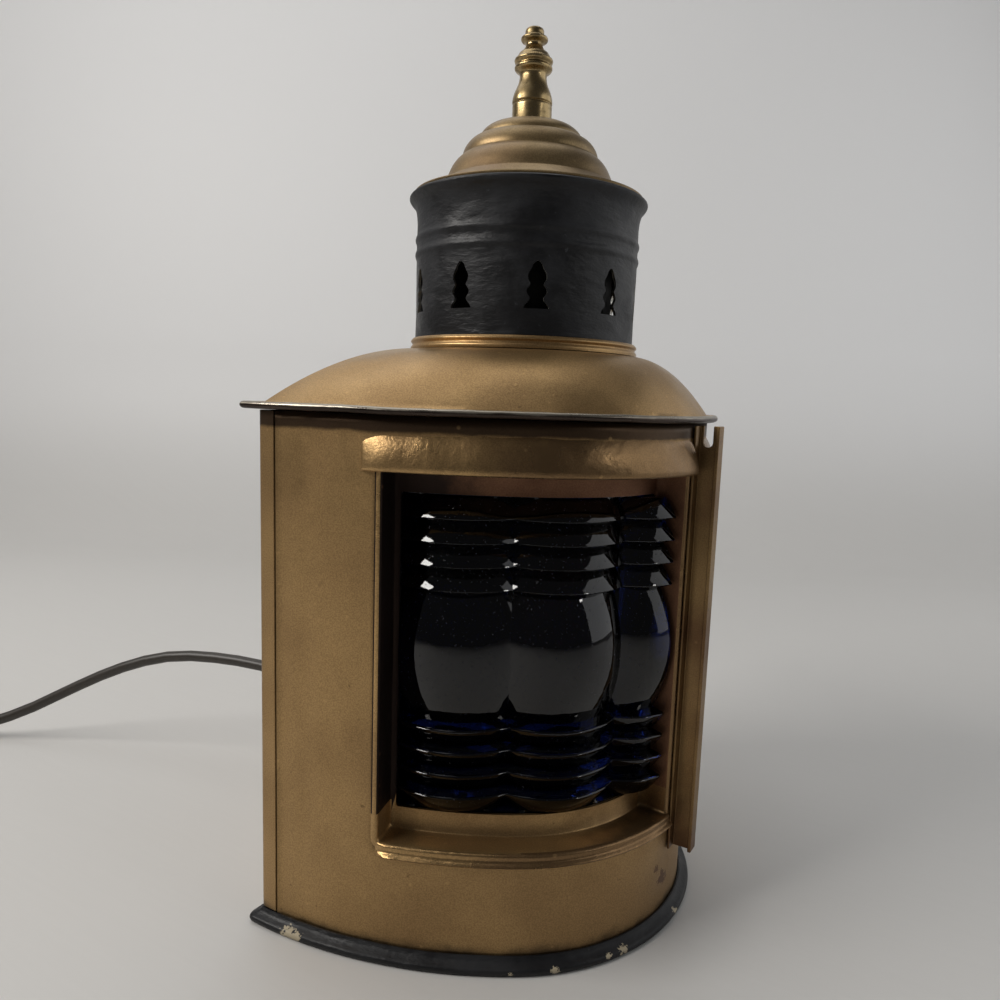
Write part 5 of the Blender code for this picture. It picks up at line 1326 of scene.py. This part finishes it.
ROUND_TIER = ((0.1, 0.02), (0.3, 0.08), (0.52, 0.2), (0.72, 0.38), (0.88, 0.6), (0.97, 0.82), (1.0, 1.0))
SKIRT_TIER = ((0.05, 0.03), (0.17, 0.14), (0.28, 0.3), (0.36, 0.48), (0.44, 0.68), (0.62, 0.88), (1.0, 1.0))
CAP_TIERS = ((17.4, 259.8, ROUND_TIER), (23.2, 253.3, ROUND_TIER), (36.4, 240.4, SKIRT_TIER))


class LANTERN_OT_cap(Operator):
    """Make the stepped cap and the finial's fixings"""

    bl_idname = "lantern.cap"
    bl_label = "Cap"

    def execute(self, context):
        top = context.scene.bow_top
        seat = top.chimney_top + GAP
        skirt = top.chimney_radius - 1.3 * MM
        points = [(12.2 * MM, top.cap_top - 0.1 * MM)]
        for radius, level, tier in CAP_TIERS:
            start, high = points[-1]
            points += [(start + out * (radius * MM - start), high + down * (level * MM - high))
                       for out, down in tier]
        outside = [(STUD_HOLE, top.cap_top - 0.3 * MM), (11.4 * MM, top.cap_top - 0.3 * MM)]
        outside += [(11.8 * MM, top.cap_top)] + smoothed(points, 2)
        outside += [(out, seat + up) for out, up in mm((39.2, 0.8), (39.4, 0.5), (39.2, 0.0))]
        outside += [(skirt - out, seat - down) for out, down in mm((0.0, 0.0), (0.0, 5.0), (0.8, 5.0))]
        inside = [(skirt - top.sheet, seat)]
        inside += [(radius - top.sheet, height - top.sheet) for radius, height in reversed(points[:-1:3])]
        inside.append((STUD_HOLE, top.cap_top - 0.3 * MM - top.sheet))
        work = bmesh.new()
        turned(work, outside + inside, 96, closed=True)
        for vert in work.verts:
            flat = radial(vert.co)
            if seat + 2 * MM < vert.co.z < top.cap_top - 1 * MM:
                vert.co += flat * 0.2 * MM * noise.noise(Vector((flat.x * 2, flat.y * 2, vert.co.z * 90)))
        finished("cap", work, "top", ("chimney_cap",), ("Cap gold",), 45.0)
        for node in ("finial_stud", "finial_washer", "finial_nut"):
            refined(node, "top", "Steel", 0.2)
        return {"FINISHED"}


FINIAL_SHAPE = (
    (0.0, 1.0), (0.22, 1.0), (0.38, 0.994), (0.46, 0.97), (0.47, 0.925), (0.52, 0.912), (0.64, 0.902),
    (0.67, 0.885), (0.63, 0.866), (0.47, 0.852), (0.41, 0.835), (0.46, 0.80), (0.58, 0.765),
    (0.72, 0.742), (0.80, 0.715), (0.84, 0.696), (0.94, 0.68), (0.96, 0.662), (0.92, 0.645),
    (0.84, 0.63), (0.86, 0.618), (0.93, 0.605), (0.94, 0.587), (0.88, 0.566), (0.72, 0.545),
    (0.67, 0.52), (0.69, 0.47), (0.76, 0.415), (0.90, 0.345), (0.98, 0.29), (1.0, 0.252),
    (1.0, 0.236), (0.95, 0.228), (0.94, 0.222), (0.98, 0.214), (0.99, 0.19), (0.985, 0.02),
    (0.97, 0.0),
)


class LANTERN_OT_finial(Operator):
    """Make the turned brass finial"""

    bl_idname = "lantern.finial"
    bl_label = "Finial"

    def execute(self, context):
        top = context.scene.bow_top
        foot = top.cap_top + GAP
        tip = foot + top.finial_height
        outside = [(top.finial_radius * wide, foot + top.finial_height * up) for wide, up in FINIAL_SHAPE]
        profile = [(max(0.0, radius), min(height, tip)) for radius, height in smoothed(outside, 2)]
        hole_top = foot + 9.3 * MM
        profile += [(STUD_HOLE, foot), (STUD_HOLE, hole_top), (0.0, hole_top)]
        work = bmesh.new()
        turned(work, profile, 64)
        finished("brass_finial", work, "finial", ("finial",), ("Old brass",), 50.0)
        return {"FINISHED"}


class LANTERN_OT_hinge(Operator):
    """Finish the hinge's leaves and pin"""

    bl_idname = "lantern.hinge"
    bl_label = "Hinge"

    def execute(self, context):
        refined("hinge_leaf_back", "lantern", "Case gold", 0.15)
        refined("hinge_pin", "lantern", "Steel", 0.15)
        refined("hinge_leaf_hood", "top", "Hood gold", 0.15)
        return {"FINISHED"}


class LANTERN_OT_light(Operator):
    """Finish the socket, its strap and switch, and the bulb"""

    bl_idname = "lantern.light"
    bl_label = "Socket and bulb"

    def execute(self, context):
        for node, slot, finish in (
                ("socket_strap", "steel", "Steel"), ("socket_nipple", "brass", "Brass"),
                ("nipple_locknut", "brass", "Brass"), ("socket_cap", "brass", "Brass"),
                ("socket_shell", "brass", "Brass"), ("socket_liner", "card", "Card"),
                ("socket_interior", "porcelain", "Porcelain"), ("screw_shell", "brass", "Brass"),
                ("bulb_base", "nickel", "Nickel"), ("bulb_glass", "frosted_glass", "Frosted glass")):
            refined(node, "lantern", finish, 0.15)
        refined("switch_knob", "switch", "Knob", 0.15)
        return {"FINISHED"}


BUILDERS = (LANTERN_OT_stage, LANTERN_OT_lead, LANTERN_OT_base, LANTERN_OT_case, LANTERN_OT_windows,
            LANTERN_OT_lenses, LANTERN_OT_fin, LANTERN_OT_hood, LANTERN_OT_chimney, LANTERN_OT_cap,
            LANTERN_OT_finial, LANTERN_OT_hinge, LANTERN_OT_light)


class LANTERN_PT_panel(Panel):
    """The lantern's pieces and sizes"""

    bl_label = "Bow lantern"
    bl_space_type = "VIEW_3D"
    bl_region_type = "UI"
    bl_category = "Lantern"

    def draw(self, context):
        for builder in BUILDERS:
            self.layout.operator(builder.bl_idname)
        for group, kind in GROUPS.items():
            box = self.layout.box()
            for name in kind.__annotations__:
                box.prop(getattr(context.scene, group), name)


def register():
    """Register the property groups, operators and panel."""
    for group, kind in GROUPS.items():
        bpy.utils.register_class(kind)
        setattr(bpy.types.Scene, group, PointerProperty(type=kind))
    for kind in (*BUILDERS, LANTERN_PT_panel):
        bpy.utils.register_class(kind)


def unregister():
    """Take them away again."""
    for kind in (LANTERN_PT_panel, *reversed(BUILDERS)):
        bpy.utils.unregister_class(kind)
    for group, kind in GROUPS.items():
        delattr(bpy.types.Scene, group)
        bpy.utils.unregister_class(kind)


def main():
    """Build every piece."""
    register()
    make_materials(bpy.context.scene.bow_colours)
    for builder in BUILDERS:
        group, name = builder.bl_idname.split(".")
        getattr(getattr(bpy.ops, group), name)()


if __name__ == "__main__":
    main()
